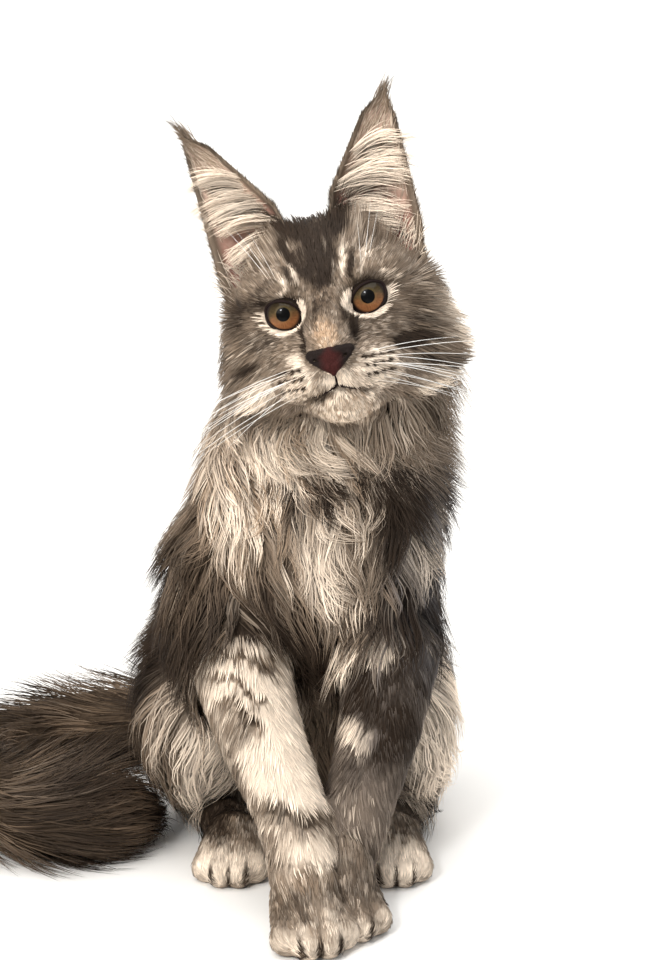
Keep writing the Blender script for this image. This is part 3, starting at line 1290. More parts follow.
class Shader:
    """One material and the few kinds of node that its recipes use."""

    def __init__(self, name):
        self.material = bpy.data.materials.new(name)
        self.material.use_nodes = True
        self.tree = self.material.node_tree
        self.tree.nodes.clear()

    def node(self, kind, settings, inputs):
        """A new node with its settings and the values or links of its sockets."""
        made = self.tree.nodes.new(kind)
        for key, value in settings.items():
            setattr(made, key, value)
        for key, value in inputs.items():
            source = value.socket if isinstance(value, Value) else value
            if isinstance(source, bpy.types.NodeSocket):
                self.tree.links.new(source, made.inputs[key])
            else:
                made.inputs[key].default_value = source
        return made

    def object_place(self):
        """The place on the piece in the world's metres."""
        return self.node("ShaderNodeTexCoord", {}, {}).outputs["Object"]

    def attribute(self, name):
        """A vector that the piece keeps at its points."""
        return self.node("ShaderNodeAttribute", {"attribute_name": name}, {}).outputs["Vector"]

    def parts(self, vector):
        """The three numbers of a vector."""
        split = self.node("ShaderNodeSeparateXYZ", {}, {0: vector})
        return [Value(self, socket) for socket in split.outputs]

    def noise(self, vector, scale, detail=2.0):
        """Soft noise from 0 to 1."""
        made = self.node("ShaderNodeTexNoise", {}, {"Vector": vector, "Scale": scale, "Detail": detail})
        return Value(self, made.outputs[0])

    def step(self, value, low, high):
        """A soft step from 0 to 1 as the value goes from low to high."""
        settings = {"interpolation_type": "SMOOTHSTEP"}
        inputs = {"Value": value, "From Min": low, "From Max": high}
        return Value(self, self.node("ShaderNodeMapRange", settings, inputs).outputs[0])

    def mix(self, share, first, second):
        """A colour between two others."""
        made = self.node("ShaderNodeMix", {"data_type": "RGBA"}, {0: share, 6: first, 7: second})
        return made.outputs[2]

    def toned(self, colour, amount):
        """A colour made lighter or darker by a number."""
        made = self.node("ShaderNodeVectorMath", {"operation": "SCALE"}, {0: colour, "Scale": amount})
        return made.outputs[0]

    def bump(self, height, strength, distance):
        """A normal from a height."""
        inputs = {"Height": height, "Strength": strength, "Distance": distance}
        return self.node("ShaderNodeBump", {}, inputs).outputs[0]

    def surface(self, colour, roughness, **sockets):
        """The shader at the end, with its uniform values set on its own sockets."""
        inputs = {"Base Color": colour, "Roughness": roughness}
        inputs.update({name.replace("_", " "): value for name, value in sockets.items()})
        made = self.node("ShaderNodeBsdfPrincipled", {}, inputs)
        self.node("ShaderNodeOutputMaterial", {}, {0: made.outputs[0]})
        return self.material


def rgba(colour):
    """A colour property as a socket's value."""
    return (*colour, 1.0)


def coat_colour(shader, colours):
    """The colour of coat and skin: ground, then cream, tan, cool and dark marks, mottled."""
    pale, dark, warm = shader.parts(shader.attribute("marks"))
    along, shade, draw = shader.parts(shader.attribute("strand"))
    root = shader.attribute("root")
    patches = shader.noise(root, 70.0, 3.0)
    flecks = shader.noise(root, 420.0, 2.0)
    ground = shader.mix(shader.step(warm, 0.0, 1.0), rgba(colours.silver), rgba(colours.tan))
    ground = shader.mix(shader.step(warm * -1.0, 0.0, 1.0), ground, rgba(colours.cool))
    cream = shader.step(pale + (patches - 0.5) * 0.6 + (draw - 0.5) * 0.85, 0.1, 0.95)
    colour = shader.mix(cream, ground, rgba(colours.cream))
    tip = shader.step(along, 0.15, 0.95)
    smoke = dark * (0.78 + tip * 0.34) + (flecks - 0.5) * 0.3 + (patches - 0.5) * 0.4 - (shade - 0.5) * 0.3
    colour = shader.mix(shader.step(smoke, 0.1, 0.95), colour, rgba(colours.smoke))
    return shader.toned(colour, 0.57 + shade * 0.42 + tip * 0.38), root


def coat_material(colours):
    """Fur: the marks of the coat with a dry, slightly silky finish."""
    shader = Shader("coat")
    colour, root = coat_colour(shader, colours)
    along = shader.parts(shader.attribute("strand"))[0]
    return shader.surface(colour, 0.66 - along * 0.12, Specular_IOR_Level=0.12)


def skin_material(colours):
    """The skin under the coat: the same marks, a little deeper, with short flat hair as bump."""
    shader = Shader("skin_under_coat")
    colour, root = coat_colour(shader, colours)
    colour = shader.toned(colour, 0.6)
    hair = shader.noise(root, 1500.0, 2.0)
    normal = shader.bump(hair, 0.5, 0.0006)
    return shader.surface(colour, 0.8 + hair * 0.1, Specular_IOR_Level=0.1, Normal=normal)


# The iris, in millimetres from its middle: the pupil's edge, the pale ring round it, the dark edge
PUPIL_EDGE = (3.65, 3.35)
IRIS_RING = (5.0, 3.6)
IRIS_EDGE = (6.9, 8.6)


def eye_material(colours):
    """An amber and olive iris with fine fibres, a dark edge, a round pupil and a wet cover."""
    shader = Shader("eye_amber")
    place = shader.attribute("eye_place")
    across, depth, up = shader.parts(place)
    reach = (across * across + up * up) ** 0.5
    spokes = {0: across / reach * 9.0, 1: up / reach * 9.0, 2: reach * 0.25}
    fibre = shader.noise(shader.node("ShaderNodeCombineXYZ", {}, spokes).outputs[0], 2.2, 4.0)
    cloud = shader.noise(place, 0.35, 2.0)
    lift = shader.step(up + (cloud - 0.5) * 4.0, -4.5, 2.0)
    iris = shader.mix(lift, rgba(colours.amber), rgba(colours.olive))
    iris = shader.toned(iris, (0.4 + fibre * 1.4) * (1.0 - shader.step(up, 0.0, 6.5) * 0.7))
    inner = shader.step(reach, *IRIS_RING)
    iris = shader.mix(inner * 0.3, iris, (0.10, 0.075, 0.03, 1.0))
    edge = shader.step(reach + fibre * 0.6, *IRIS_EDGE)
    iris = shader.mix(edge, iris, rgba(colours.rim))
    pupil = shader.step(reach, *PUPIL_EDGE)
    colour = shader.mix(pupil, iris, (0.002, 0.002, 0.002, 1.0))
    wet = {"Coat_Weight": 0.5, "Coat_Roughness": 0.015, "Coat_IOR": 1.25, "Specular_IOR_Level": 0.02}
    return shader.surface(colour, 0.3 - edge * 0.08, **wet)


def nose_material(colours):
    """Leather of the nose: maroon in its middle, nearly black at its sides, with fine pebbles."""
    shader = Shader("nose_leather")
    place = shader.object_place()
    pebbles = shader.node("ShaderNodeTexVoronoi", {}, {"Vector": place, "Scale": 1500.0})
    grain = Value(shader, pebbles.outputs[0])
    tone = shader.noise(place, 160.0, 3.0)
    across, depth, up = shader.parts(shader.attribute("nose_place"))
    away = (across * across) ** 0.5 + (tone - 0.5) * 3.0 + shader.step(up, -24.0, -20.5) * 3.0
    colour = shader.mix(shader.step(away, 2.0, 7.0), rgba(colours.nose), rgba(colours.rim))
    colour = shader.toned(colour, 0.8 + grain * 0.5)
    normal = shader.bump(grain * -1.0 + tone * 0.5, 0.45, 0.0005)
    return shader.surface(colour, 0.5 + tone * 0.15, Specular_IOR_Level=0.03, Normal=normal)


def rim_material(colours):
    """Bare dark skin of the lids and lips, slightly moist."""
    shader = Shader("rim_skin")
    place = shader.object_place()
    tone = shader.noise(place, 700.0, 3.0)
    colour = shader.mix(tone * 0.3, rgba(colours.rim), rgba(colours.nose))
    colour = shader.toned(colour, 0.5 + tone * 0.5)
    normal = shader.bump(tone, 0.3, 0.0004)
    return shader.surface(colour, 0.5 + tone * 0.2, Specular_IOR_Level=0.06, Normal=normal)


def ear_material(colours):
    """An ear: pink thin skin inside, the coat's marks outside and along the rim."""
    shader = Shader("ear_lining")
    colour, root = coat_colour(shader, colours)
    across, up, inside = shader.parts(shader.attribute("ear_place"))
    tone = shader.noise(root, 240.0, 3.0)
    bright = shader.step(up + tone * 0.3, 0.25, 0.75)
    pink = shader.mix(bright, rgba(colours.pink), (0.6, 0.42, 0.33, 1.0))
    pink = shader.toned(pink, 0.75 + tone * 0.4)
    edge = shader.step(across, 0.03, 0.14) * shader.step(1.0 - across, 0.02, 0.11)
    shown = shader.step(inside, 0.9, 1.0) * edge * (1.0 - shader.step(up, 0.7, 1.0) * 0.6)
    colour = shader.mix(shown, colour, pink)
    normal = shader.bump(tone, 0.25, 0.0006)
    return shader.surface(colour, 0.6 + tone * 0.15, Specular_IOR_Level=0.12, Normal=normal)


def whisker_material(colours):
    """Whiskers: stiff white hair, greyer at the root."""
    shader = Shader("whisker_hair")
    along, shade, draw = shader.parts(shader.attribute("strand"))
    colour = shader.mix(shader.step(along, 0.0, 0.25), rgba(colours.cream), (0.92, 0.9, 0.86, 1.0))
    return shader.surface(shader.toned(colour, 0.85 + shade * 0.2), 0.32 + draw * 0.1)


# The left ear in the head's frame, in millimetres; the right one mirrors it
EAR_TIP = np.array((52.0, 42.0, 99.0))
EAR_INNER_BASE = np.array((13.0, 32.0, 40.0))
EAR_OUTER_BASE = np.array((51.0, 28.0, 8.0))
EAR_BACK = np.array((-0.22, 0.95, -0.12)) / np.linalg.norm((-0.22, 0.95, -0.12))
EAR_LEAN = {-1: 5.5, 1: -5.0}
EAR_BULGE = 8.0
EAR_DEPTH = 26.0
EAR_WALL = 1.5
EAR_TOP = 0.985
EAR_SINK = 0.1
FRINGE_LOCK = 22
EAR_ROWS = 40
EAR_COLUMNS = 32


def ear_place(side, up, across):
    """A point of the ear, up from the base and across from its inner edge, in millimetres."""
    up, across = np.asarray(up)[..., None], np.asarray(across)[..., None]
    swell = EAR_BULGE * np.minimum(1, up / 0.3) * np.minimum(1, (1 - up) / 0.1) ** 0.5
    tip = EAR_TIP + np.array((EAR_LEAN[side], 0, 0))
    inner_base = EAR_INNER_BASE + np.array((min(0, EAR_LEAN[side]), 0, 0))
    taper = (1 - up) ** 0.85
    inner = inner_base * taper + tip * (1 - taper) + swell * np.array((-0.9, 0, 0.05))
    widening = np.array((0.5 if side > 0 else 0.1, 0, 0.05))
    outer = EAR_OUTER_BASE * taper + tip * (1 - taper) + swell * widening
    hollow = EAR_DEPTH * (1 - up) ** 0.8 * np.clip(4 * across * (1 - across), 0, 1) ** 0.75
    place = inner * (1 - across) + outer * across + EAR_BACK * hollow
    return place * np.array((side, 1, 1))


def ear_points(side, up, across):
    """The same points in the world, in metres."""
    matrix = np.array(HEAD_FRAME)
    return ear_place(side, up, across) * MM @ matrix[:3, :3].T + matrix[:3, 3]


def ear_frame(side, up, across):
    """On the ear: the point, the normal of its back, and the way from base to tip."""
    step = 0.01
    rise = ear_points(side, np.minimum(up + step, 0.999), across) - ear_points(side, up - step, across)
    width = ear_points(side, up, across + step) - ear_points(side, up, across - step)
    normal = unit(np.cross(width, rise)) * -side
    return ear_points(side, up, across), normal, unit(rise)


def make_ear(name, side):
    """An ear cup: a grid shaped to the cup and given the thickness of its wall."""
    bpy.ops.object.select_all(action="DESELECT")
    bpy.ops.mesh.primitive_grid_add(x_subdivisions=EAR_COLUMNS, y_subdivisions=EAR_ROWS, size=1.0)
    ear = bpy.context.active_object
    flat = read(ear.data.vertices, "co", 3)
    across, up = flat[:, 0] + 0.5, (flat[:, 1] + 0.5) * EAR_TOP
    ear.data.vertices.foreach_set("co", ear_points(side, up, across).ravel())
    if side > 0:
        ear.data.flip_normals()
    apply_modifier(ear, "SOLIDIFY", thickness=EAR_WALL * MM, offset=-1.0, use_even_offset=True)
    shade_smooth(ear)
    ear = settle(ear, name)
    across, up = np.tile(across, 2), np.tile(up, 2)
    inside = np.arange(len(up)) >= len(flat)
    strand = np.tile((0.4, 0.4, 0.5), (len(up), 1))
    place = columns(across, up, inside.astype(float))
    root = read(ear.data.vertices, "co", 3)
    add_attributes(ear, ear_place=place, marks=ear_marks(up), root=root, strand=strand)
    return ear


def ear_marks(up):
    """How pale, dark and warm the back of an ear is, from base to tip."""
    pale = 0.2 - 0.1 * smoothstep(0.1, 0.5, up)
    dark = 0.35 + 0.3 * smoothstep(0.55, 0.95, up)
    return columns(pale, dark, 0.05)


def ear_roots(side, up, across, marks):
    """Roots of tufts on an ear."""
    roots = Roots()
    roots.points, roots.normals, roots.ways = ear_frame(side, up, across)
    roots.marks = marks
    roots.draws = np.full((len(up), 2), 0.5)
    cell = np.array((0.0 if side < 0 else 0.25, 0.75))
    roots.unwrap = cell + 0.01 + 0.23 * columns(across, up)
    roots.limb = np.zeros(len(up), int)
    return roots


def cup_roots(side, up, across, marks, depth=EAR_WALL):
    """Roots of tufts on the front of an ear, this deep in front of its back."""
    roots = ear_roots(side, up, across, marks)
    roots.normals = -roots.normals
    roots.points = roots.points + roots.normals * depth * MM
    return roots


def free_paths(roots, lengths, lifts, bends, lean, droop=0.0):
    """Paths that leave their roots by themselves, leaning aside and drooping evenly as they go."""
    paths, ups = [roots.points], [roots.normals]
    way = roots.ways.copy()
    side = np.cross(roots.normals, roots.ways)
    lean = lean[:, None]
    for bend in range(1, bends + 1):
        share = bend / bends
        rise = roots.normals * (lifts * (1 - share))[:, None]
        way = unit(way + side * lean / bends + np.array((0, 0, -droop / bends)))
        paths.append(paths[-1] + (way * lengths[:, None] / bends) + rise * MM / bends)
        ups.append(roots.normals)
    return np.array(paths), np.array(ups)


# The way that the flat tops of the long tufts of the ears face
TUFTS_FACE = unit(head_way(-0.2, -1.0, 0.45))


def ear_back_coat(side, count, random):
    """Short hair on the back of an ear and along its edges, lying towards the tip."""
    up = random.random(count * 2)
    keep = random.random(count * 2) < (1.05 - up)
    up = up[keep][:count] * 0.97 + 0.015
    across = random.random(len(up)) * 0.98 + 0.01
    roots = ear_roots(side, up, across, ear_marks(up))
    roots.marks = roots.marks + random.normal(0, 0.12, (len(up), 1)) * np.array((1, 1, 0))
    lengths = (3.4 + 2.5 * (1 - up)) * MM
    paths, ups = free_paths(roots, lengths, np.full(len(up), 1.1), 2, random.normal(0, 0.1, len(up)))
    return roots, paths, ups, np.full(len(up), 0.6 * MM)


def ear_front_coat(side, count, random):
    """Fine pale hair inside the cup, which lies up and outwards, and dark at the tip."""
    up = random.random(count * 2)
    keep = random.random(count * 2) < 0.1 + 0.8 * smoothstep(0.3, 0.65, up)
    up = up[keep][:count] * 0.96 + 0.02
    across = random.uniform(0.05, 0.95, len(up))
    dark = 0.15 + 0.45 * smoothstep(0.7, 0.98, up)
    marks = columns(random.uniform(0.3, 1.0, len(up)) - dark * 0.6, dark, 0.35)
    roots = cup_roots(side, up, across, marks, EAR_WALL - EAR_SINK)
    ways = flattened(head_way(side * 0.5, -0.1, 0.2) + roots.ways * 0.8, roots.normals)
    roots.ways = unit(ways + random.normal(0, 0.1, ways.shape))
    lengths = random.uniform(4, 9, len(up)) * MM
    lean = random.normal(0, 0.25, len(up))
    paths, ups = free_paths(roots, lengths, np.full(len(up), 1.0), 4, lean)
    return roots, paths, ups, np.full(len(up), 0.4 * MM)


def ear_edge_coat(side, count, random):
    """Short brown hair along both edges of the cup, which covers its rim."""
    up = random.random(count * 2)
    keep = random.random(count * 2) < (1.02 - 0.7 * up)
    up = up[keep][:count] * 0.96 + 0.01
    inner = random.random(len(up)) < 0.5
    near = random.random(len(up)) ** 1.5 * (0.03 + 0.06 * up + 0.05 * inner)
    across = np.where(inner, near, 1 - near)
    dark = random.uniform(0.15, 0.5, len(up)) + 0.3 * smoothstep(0.55, 0.9, up) + 0.2 * inner
    marks = columns(random.uniform(0.05, 0.35, len(up)), dark, 0.1)
    roots = cup_roots(side, up, across, marks, EAR_WALL - EAR_SINK)
    aside = head_way(side, 0, 0) * np.where(inner, -0.55, 0.75)[:, None]
    roots.ways = unit(aside + roots.ways + random.normal(0, 0.12, roots.ways.shape))
    lengths = random.uniform(2.6, 5.0, len(up)) * (1.4 - 0.5 * up) * MM
    paths, ups = free_paths(roots, lengths, np.full(len(up), 0.8), 2, random.normal(0, 0.1, len(up)))
    return roots, paths, ups, np.full(len(up), 0.55 * MM)


def ear_fringe(side, count, random):
    """Long pale locks from the inner edge of the ear, which arch across the cup and past it."""
    locks = count // FRINGE_LOCK
    lock = random.integers(0, locks, count)
    low = np.arange(locks) % 6
    up = np.where(low == 0, 0.05, np.where(low == 3, 0.17, np.linspace(0.33, 0.7, locks)))[lock]
    up = np.clip(up + random.normal(0, 0.02, count), 0.02, 0.8)
    across = np.clip(random.uniform(0.04, 0.4, locks)[lock] + random.normal(0, 0.04, count), 0.01, 0.6)
    roots = cup_roots(side, up, across, columns(random.uniform(0.5, 1.0, count), 0.0, 0.3))
    share = random.uniform(0.15, 0.75, (locks, 1))[lock] + 0.8 * up[:, None]
    ways = head_way(side, -0.35, 0) + head_way(0, 0, 1) * share
    roots.ways = unit(ways + random.normal(0, 0.09, (count, 3)))
    lengths = random.uniform(30, 62, locks)[lock] * random.uniform(0.55, 1.0, count)
    lengths = lengths * (1 - 0.5 * up) * MM
    lean = random.normal(0, 0.2, locks)[lock] + random.normal(0, 0.1, count)
    paths, ups = free_paths(roots, lengths, np.full(count, 6.0), 5, lean, 1.1)
    for number in range(locks):
        own = lock == number
        if own.any():
            middle = paths[:, own].mean(1, keepdims=True)
            pull = np.linspace(0, 0.6, 6)[:, None, None] * random.uniform(0.4, 1.1, (own.sum(), 1))
            paths[:, own] += (middle - paths[:, own]) * pull
    ups[:] = TUFTS_FACE
    roots.draws = random.random((locks, 2))[lock]
    return roots, paths, ups, random.uniform(0.3, 0.5, count) * MM


def ear_base_coat(side, count, random):
    """Soft hair that fills the bottom of the cup, brown at its inner side and pale at its outer one."""
    up = random.random(count) * 0.2 + 0.01
    across = random.random(count) ** 1.3
    pale = 0.15 + 0.6 * smoothstep(0.35, 0.8, across) + random.uniform(-0.15, 0.25, count)
    dark = 0.55 * smoothstep(0.5, 0.15, across)
    roots = cup_roots(side, up, across, columns(pale, dark, 0.1))
    roots.ways = unit(head_way(side * 0.6, -0.45, 0.75) + random.normal(0, 0.2, (count, 3)))
    lengths = random.uniform(9, 19, count) * MM
    paths, ups = free_paths(roots, lengths, np.full(count, 5.0), 4, random.normal(0, 0.4, count), 0.1)
    return roots, paths, ups, np.full(count, 0.65 * MM)


def ear_tip_tuft(side, count, random):
    """The dark lynx tuft at the tip, bent outwards."""
    up = random.uniform(0.93, 0.985, count)
    across = random.uniform(0.15, 0.85, count)
    roots = ear_roots(side, up, across, columns(0.15, random.uniform(0.35, 0.8, count), 0.1))
    inwards = (0.5 - across)[:, None] * head_way(side * 0.7, 0, 0)
    roots.ways = unit(head_way(side * 0.35, 0, 1) + inwards + random.normal(0, 0.13, (count, 3)))
    lengths = random.uniform(7, 20, count) * random.uniform(0.6, 1.15, count) * MM
    lean = 0.35 * side + random.normal(0, 0.12, count)
    paths, ups = free_paths(roots, lengths, np.full(count, 0.5), 4, lean)
    ups[:] = TUFTS_FACE
    return roots, paths, ups, np.full(count, 0.5 * MM)


# The pieces of hair of one ear, each with its kinds and how many tufts they have
EAR_HAIR = {
    "coat_ear_": ((ear_back_coat, 1300), (ear_edge_coat, 1500)),
    "ear_tuft_": ((ear_front_coat, 900), (ear_base_coat, 330), (ear_tip_tuft, 90)),
    "ear_fringe_": ((ear_fringe, 620),),
}


def merged(groups):
    """Several groups of tufts with the same number of bends as one."""
    roots = Roots()
    for name in vars(groups[0][0]):
        setattr(roots, name, np.concatenate([getattr(group[0], name) for group in groups]))
    paths, ups = (np.concatenate([group[part] for group in groups], 1) for part in (1, 2))
    return roots, paths, ups, np.concatenate([group[3] for group in groups])


# How far the cornea stands out of the ball, and how far the ball is from the lids, in millimetres
CORNEA_RISE = 0.5
LID_GAP = 0.1


def make_eye(name, side):
    """One eyeball, dense enough for a smooth gleam, with its own places for the iris."""
    centre = head_point(side * EYE_SPACING / 2 / MM, EYE_DEPTH / MM, 0)
    bpy.ops.object.select_all(action="DESELECT")
    bpy.ops.mesh.primitive_uv_sphere_add(segments=96, ring_count=64, radius=EYE_RADIUS - LID_GAP * MM)
    eye = bpy.context.active_object
    quarter = {"value": math.radians(90), "orient_axis": "X", "center_override": (0, 0, 0)}
    edited(eye, bpy.ops.transform.rotate, **quarter)
    local = read(eye.data.vertices, "co", 3)
    cornea = smoothstep(6.2, 4.0, np.hypot(local[:, 0], local[:, 2]) / MM) * (local[:, 1] < 0)
    local[:, 1] -= cornea * CORNEA_RISE * MM
    eye.data.vertices.foreach_set("co", local.ravel())
    add_attributes(eye, eye_place=local / MM)
    eye.matrix_world = Matrix.Translation(centre) @ HEAD_FRAME.to_3x3().to_4x4()
    shade_smooth(eye)
    eye = settle(eye, name)
    corners = read(eye.data.loops, "vertex_index", 1, np.int32)[:, 0]
    flat = local[corners][:, [0, 2]] / MM / 11
    starts = read(eye.data.polygons, "loop_start", 1, np.int32)[:, 0]
    totals = read(eye.data.polygons, "loop_total", 1, np.int32)[:, 0]
    depth = np.add.reduceat(local[corners][:, 1], starts) / totals
    behind = np.repeat(depth > 0, totals)
    flat = flat * np.array((0.24, 0.48)) + np.array((0.25, 0.5)) + behind[:, None] * np.array((0.5, 0))
    layer = eye.data.uv_layers.active or eye.data.uv_layers.new(name="OFBake")
    layer.name = "OFBake"
    layer.data.foreach_set("uv", flat.astype(np.float32).ravel())
    return eye


def tube(name, points, radii, closed=False, sides=10):
    """A round tube along points with a radius at each, tapering to its ends."""
    points = np.array([tuple(point) for point in points])
    if closed:
        ways = unit(np.roll(points, -1, 0) - np.roll(points, 1, 0))
    else:
        ways = unit(np.gradient(points, axis=0))
    start = unit(np.cross(ways, head_way(0, 1, 0)))
    other = np.cross(ways, start)
    angles = np.arange(sides) * 2 * math.pi / sides
    ring = start[:, None] * np.cos(angles)[:, None] + other[:, None] * np.sin(angles)[:, None]
    vertices = (points[:, None] + ring * np.array(radii)[:, None, None]).reshape(-1, 3)
    form = bmesh.new()
    corners = [form.verts.new(vertex) for vertex in vertices]
    count = len(points)
    for index in range(count if closed else count - 1):
        near = index * sides
        far = (index + 1) % count * sides
        for step in range(sides):
            after = (step + 1) % sides
            form.faces.new([corners[i] for i in (near + step, near + after, far + after, far + step)])
    if not closed:
        form.faces.new(corners[:sides][::-1])
        form.faces.new(corners[-sides:])
    bmesh.ops.recalc_face_normals(form, faces=form.faces)
    mesh = bpy.data.meshes.new(name)
    form.to_mesh(mesh)
    form.free()
    piece = linked(name, mesh)
    select_only(piece)
    bpy.ops.object.shade_smooth_by_angle(angle=math.radians(60))
    return piece


RIM_STEPS = 64


def rim_path(side, size):
    """The edge of one eye's lids, lying on the eyeball."""
    points = []
    for step in range(RIM_STEPS):
        across, up = lid_opening(step * 2 * math.pi / RIM_STEPS, size)
        ball = EYE_RADIUS + LID_GAP * MM
        depth = EYE_DEPTH - math.sqrt(max(ball ** 2 - across ** 2 - up ** 2, 1e-6))
        points.append(HEAD_FRAME @ Vector((side * (EYE_SPACING / 2 + across), depth, up)))
    return points


def make_rims():
    """The dark edges of the lids of both eyes as one piece."""
    rims = []
    for side in (-1, 1):
        radii = []
        for step in range(RIM_STEPS):
            angle = step * 2 * math.pi / RIM_STEPS
            radii.append((0.42 + 0.35 * max(0.0, math.sin(angle)) + 0.2 * math.cos(angle) ** 8) * MM)
        rims.append(tube("rim", rim_path(side, 1.0), radii, closed=True))
    return as_one("eye_rims", rims)


NOSE_BALLS = [
    [station(0, -32.9, -22.6, 6.4, 5.2, 3.4), station(0, -33.4, -25.4, 6.4, 5.0, 3.8)],
    [station(3.6, -32.6, -22.6, 4.6, 5.2, 3.3), station(9.0, -30.2, -22.6, 3.0, 4.8, 2.9)],
    [station(-3.6, -32.6, -22.6, 4.6, 5.2, 3.3), station(-9.0, -30.2, -22.6, 3.0, 4.8, 2.9)],
    [station(1.8, -34.2, -29.0, 2.6, 4.8, 2.8), station(8.2, -31.6, -24.4, 2.8, 5.0, 2.8)],
    [station(-1.8, -34.2, -29.0, 2.6, 4.8, 2.8), station(-8.2, -31.6, -24.4, 2.8, 5.0, 2.8)],
    [station(0, -33.4, -25.5, 5.4, 5.0, 4.0), station(0, -33.8, -29.0, 3.6, 4.7, 3.0)],
    [station(0, -33.8, -29.0, 3.6, 4.7, 3.0), station(0, -34.0, -32.0, 1.4, 3.8, 1.8)],
]
NOSTRIL = (
    (3.6, -39.2, -24.4),
    (4.8, -38.8, -25.3),
    (6.4, -37.4, -25.4),
    (8.2, -35.4, -24.2),
    (9.4, -33.6, -22.9),
)
NOSTRIL_RADII = (0.5, 1.0, 1.15, 0.85, 0.4)
NOSE_VOXEL = 0.42 * MM
LIP = [(across, -60, height) for across, height in zip(LIP_ACROSS[::-1], LIP_HEIGHT[::-1])]
GROOVE = ((0, -60, -31.0), (0, -60, -33.4), (0, -60, -36.0), (0, -60, -38.4))


def evened(path):
    """The path with its inner points drawn towards their neighbours."""
    for _ in range(6):
        path[1:-1] = (path[:-2] + path[2:] + 2 * path[1:-1]) / 4
    return path


def smooth_path(places, steps):
    """Points of a soft curve through named places of the head's frame."""
    places = np.array(places, float)
    known = np.linspace(0, 1, len(places))
    wanted = np.linspace(0, 1, steps)
    path = np.stack([np.interp(wanted, known, places[:, axis]) for axis in range(3)], 1)
    return [head_point(*point) for point in evened(path)]


def make_nose():
    """The leather of the nose, with a comma-shaped nostril on each side."""
    nose = fused("nose", NOSE_BALLS, HEAD_FRAME, NOSE_VOXEL, 5)
    for side in (-1, 1):
        places = [(side * x, y, z) for x, y, z in NOSTRIL]
        radii = np.array(NOSTRIL_RADII).repeat(4) * MM
        path = smooth_path(places, len(radii))
        joined(nose, tube("nostril", path, radii), "DIFFERENCE")
    apply_modifier(nose, "SMOOTH", factor=0.5, iterations=2)
    shade_smooth(nose)
    nose = settle(nose, "nose")
    add_attributes(nose, nose_place=into_frame(read(nose.data.vertices, "co", 3), HEAD_FRAME))
    return nose


def make_lips(surface):
    """The dark line of the mouth and the groove above it, laid on the skin."""
    lines = []
    courses = [(GROOVE, 0.7), (LIP, 0.95), ([(-x, y, z) for x, y, z in LIP], 0.95)]
    for places, width in courses:
        path = np.array([tuple(point) for point in smooth_path(places, 40)])
        near = evened(surface.seen_from(path, head_way(0, 1, 0)))
        share = np.linspace(0, 1, len(path))
        radii = width * MM * (0.3 + 0.7 * share) * (0.6 + 0.4 * np.minimum(1, (1 - share) * 8))
        lines.append(tube("lip", near, radii, sides=8))
    return as_one("lips", lines)


WHISKER_BENDS = 12


def whisker_paths(surface, random):
    """Paths and widths of the whiskers of the muzzle and brows."""
    starts, ways, lengths, widths = [], [], [], []
    for side in (-1, 1):
        for row, (across, height) in enumerate(WHISKER_ROOTS):
            starts.append(tuple(head_point(side * across, -26, height)))
            drop = -0.04 - 0.13 * (row // 4) - 0.03 * (row % 4)
            ways.append(head_way(side, -0.22 + 0.06 * (row % 4), drop))
            lengths.append(random.uniform(44, 72))
            widths.append(random.uniform(0.27, 0.38))
        for brow in range(3):
            starts.append(tuple(head_point(side * (20 + brow * 2.2), 6, 15 + 0.8 * brow)))
            ways.append(head_way(side * (0.2 + 0.1 * brow), -0.35, 1))
            lengths.append(random.uniform(20, 38))
            widths.append(random.uniform(0.14, 0.2))
    near, normals, _ = surface.nearest(np.array(starts))
    lengths = np.array(lengths) * MM
    ways = unit(np.array(ways) + random.normal(0, 0.06, (len(ways), 3)))
    paths, step = [near - normals * 0.4 * MM], ways
    for _ in range(WHISKER_BENDS):
        step = unit(step + np.array((0.0, 0.012, -0.022)))
        paths.append(paths[-1] + step * lengths[:, None] / WHISKER_BENDS)
    return near, normals, ways, np.array(paths), np.array(widths) * MM


def quick_share(settings):
    """The share of the full coat that is made, which is less while trying things."""
    return settings.density * 1.0


# What the first operator finds out about the skin, for those that come after it
SHARED = {}


def skin_surface():
    """The skin as arrays, worked out once."""
    if "surface" not in SHARED:
        SHARED["surface"] = Surface(bpy.data.objects["skin"])
    return SHARED["surface"]


def shared_material(name, recipe):
    """A material that several pieces use, made once."""
    return bpy.data.materials.get(name) or recipe(bpy.context.scene.cat_colours)


class CAT_OT_skin(bpy.types.Operator):
    """Makes the skin that carries the coat"""

    bl_idname = "cat.skin"
    bl_label = "Skin"

    def execute(self, context):
        skin = make_skin()
        surface = skin_surface()
        strand = np.tile((0.3, 0.5, 0.5), (len(surface.points), 1))
        strand[limb_is(surface.limb, "foreleg", "forepaw", "hind_foot")] = (0.85, 0.75, 0.5)
        add_attributes(skin, root=surface.points, marks=surface.marks, strand=strand)
        shade_smooth(skin)
        finish_piece(skin, shared_material("skin_under_coat", skin_material), "body_coat", *FLESH_NODES)
        return {"FINISHED"}


class CAT_OT_eyes(bpy.types.Operator):
    """Makes the eyeballs and the dark rims of the lids"""

    bl_idname = "cat.eyes"
    bl_label = "Eyes"

    def execute(self, context):
        for name, side in (("left", 1), ("right", -1)):
            eye = make_eye("eye_ball_" + name, side)
            finish_piece(eye, shared_material("eye_amber", eye_material), "eye", "eye_" + name)
        finish_piece(make_rims(), shared_material("rim_skin", rim_material), "eye")
        return {"FINISHED"}


class CAT_OT_nose(bpy.types.Operator):
    """Makes the leather of the nose and the line of the mouth"""

    bl_idname = "cat.nose"
    bl_label = "Nose and mouth"

    def execute(self, context):
        finish_piece(make_nose(), shared_material("nose_leather", nose_material), "head_coat")
        finish_piece(make_lips(skin_surface()), shared_material("rim_skin", rim_material), "head_coat")
        return {"FINISHED"}


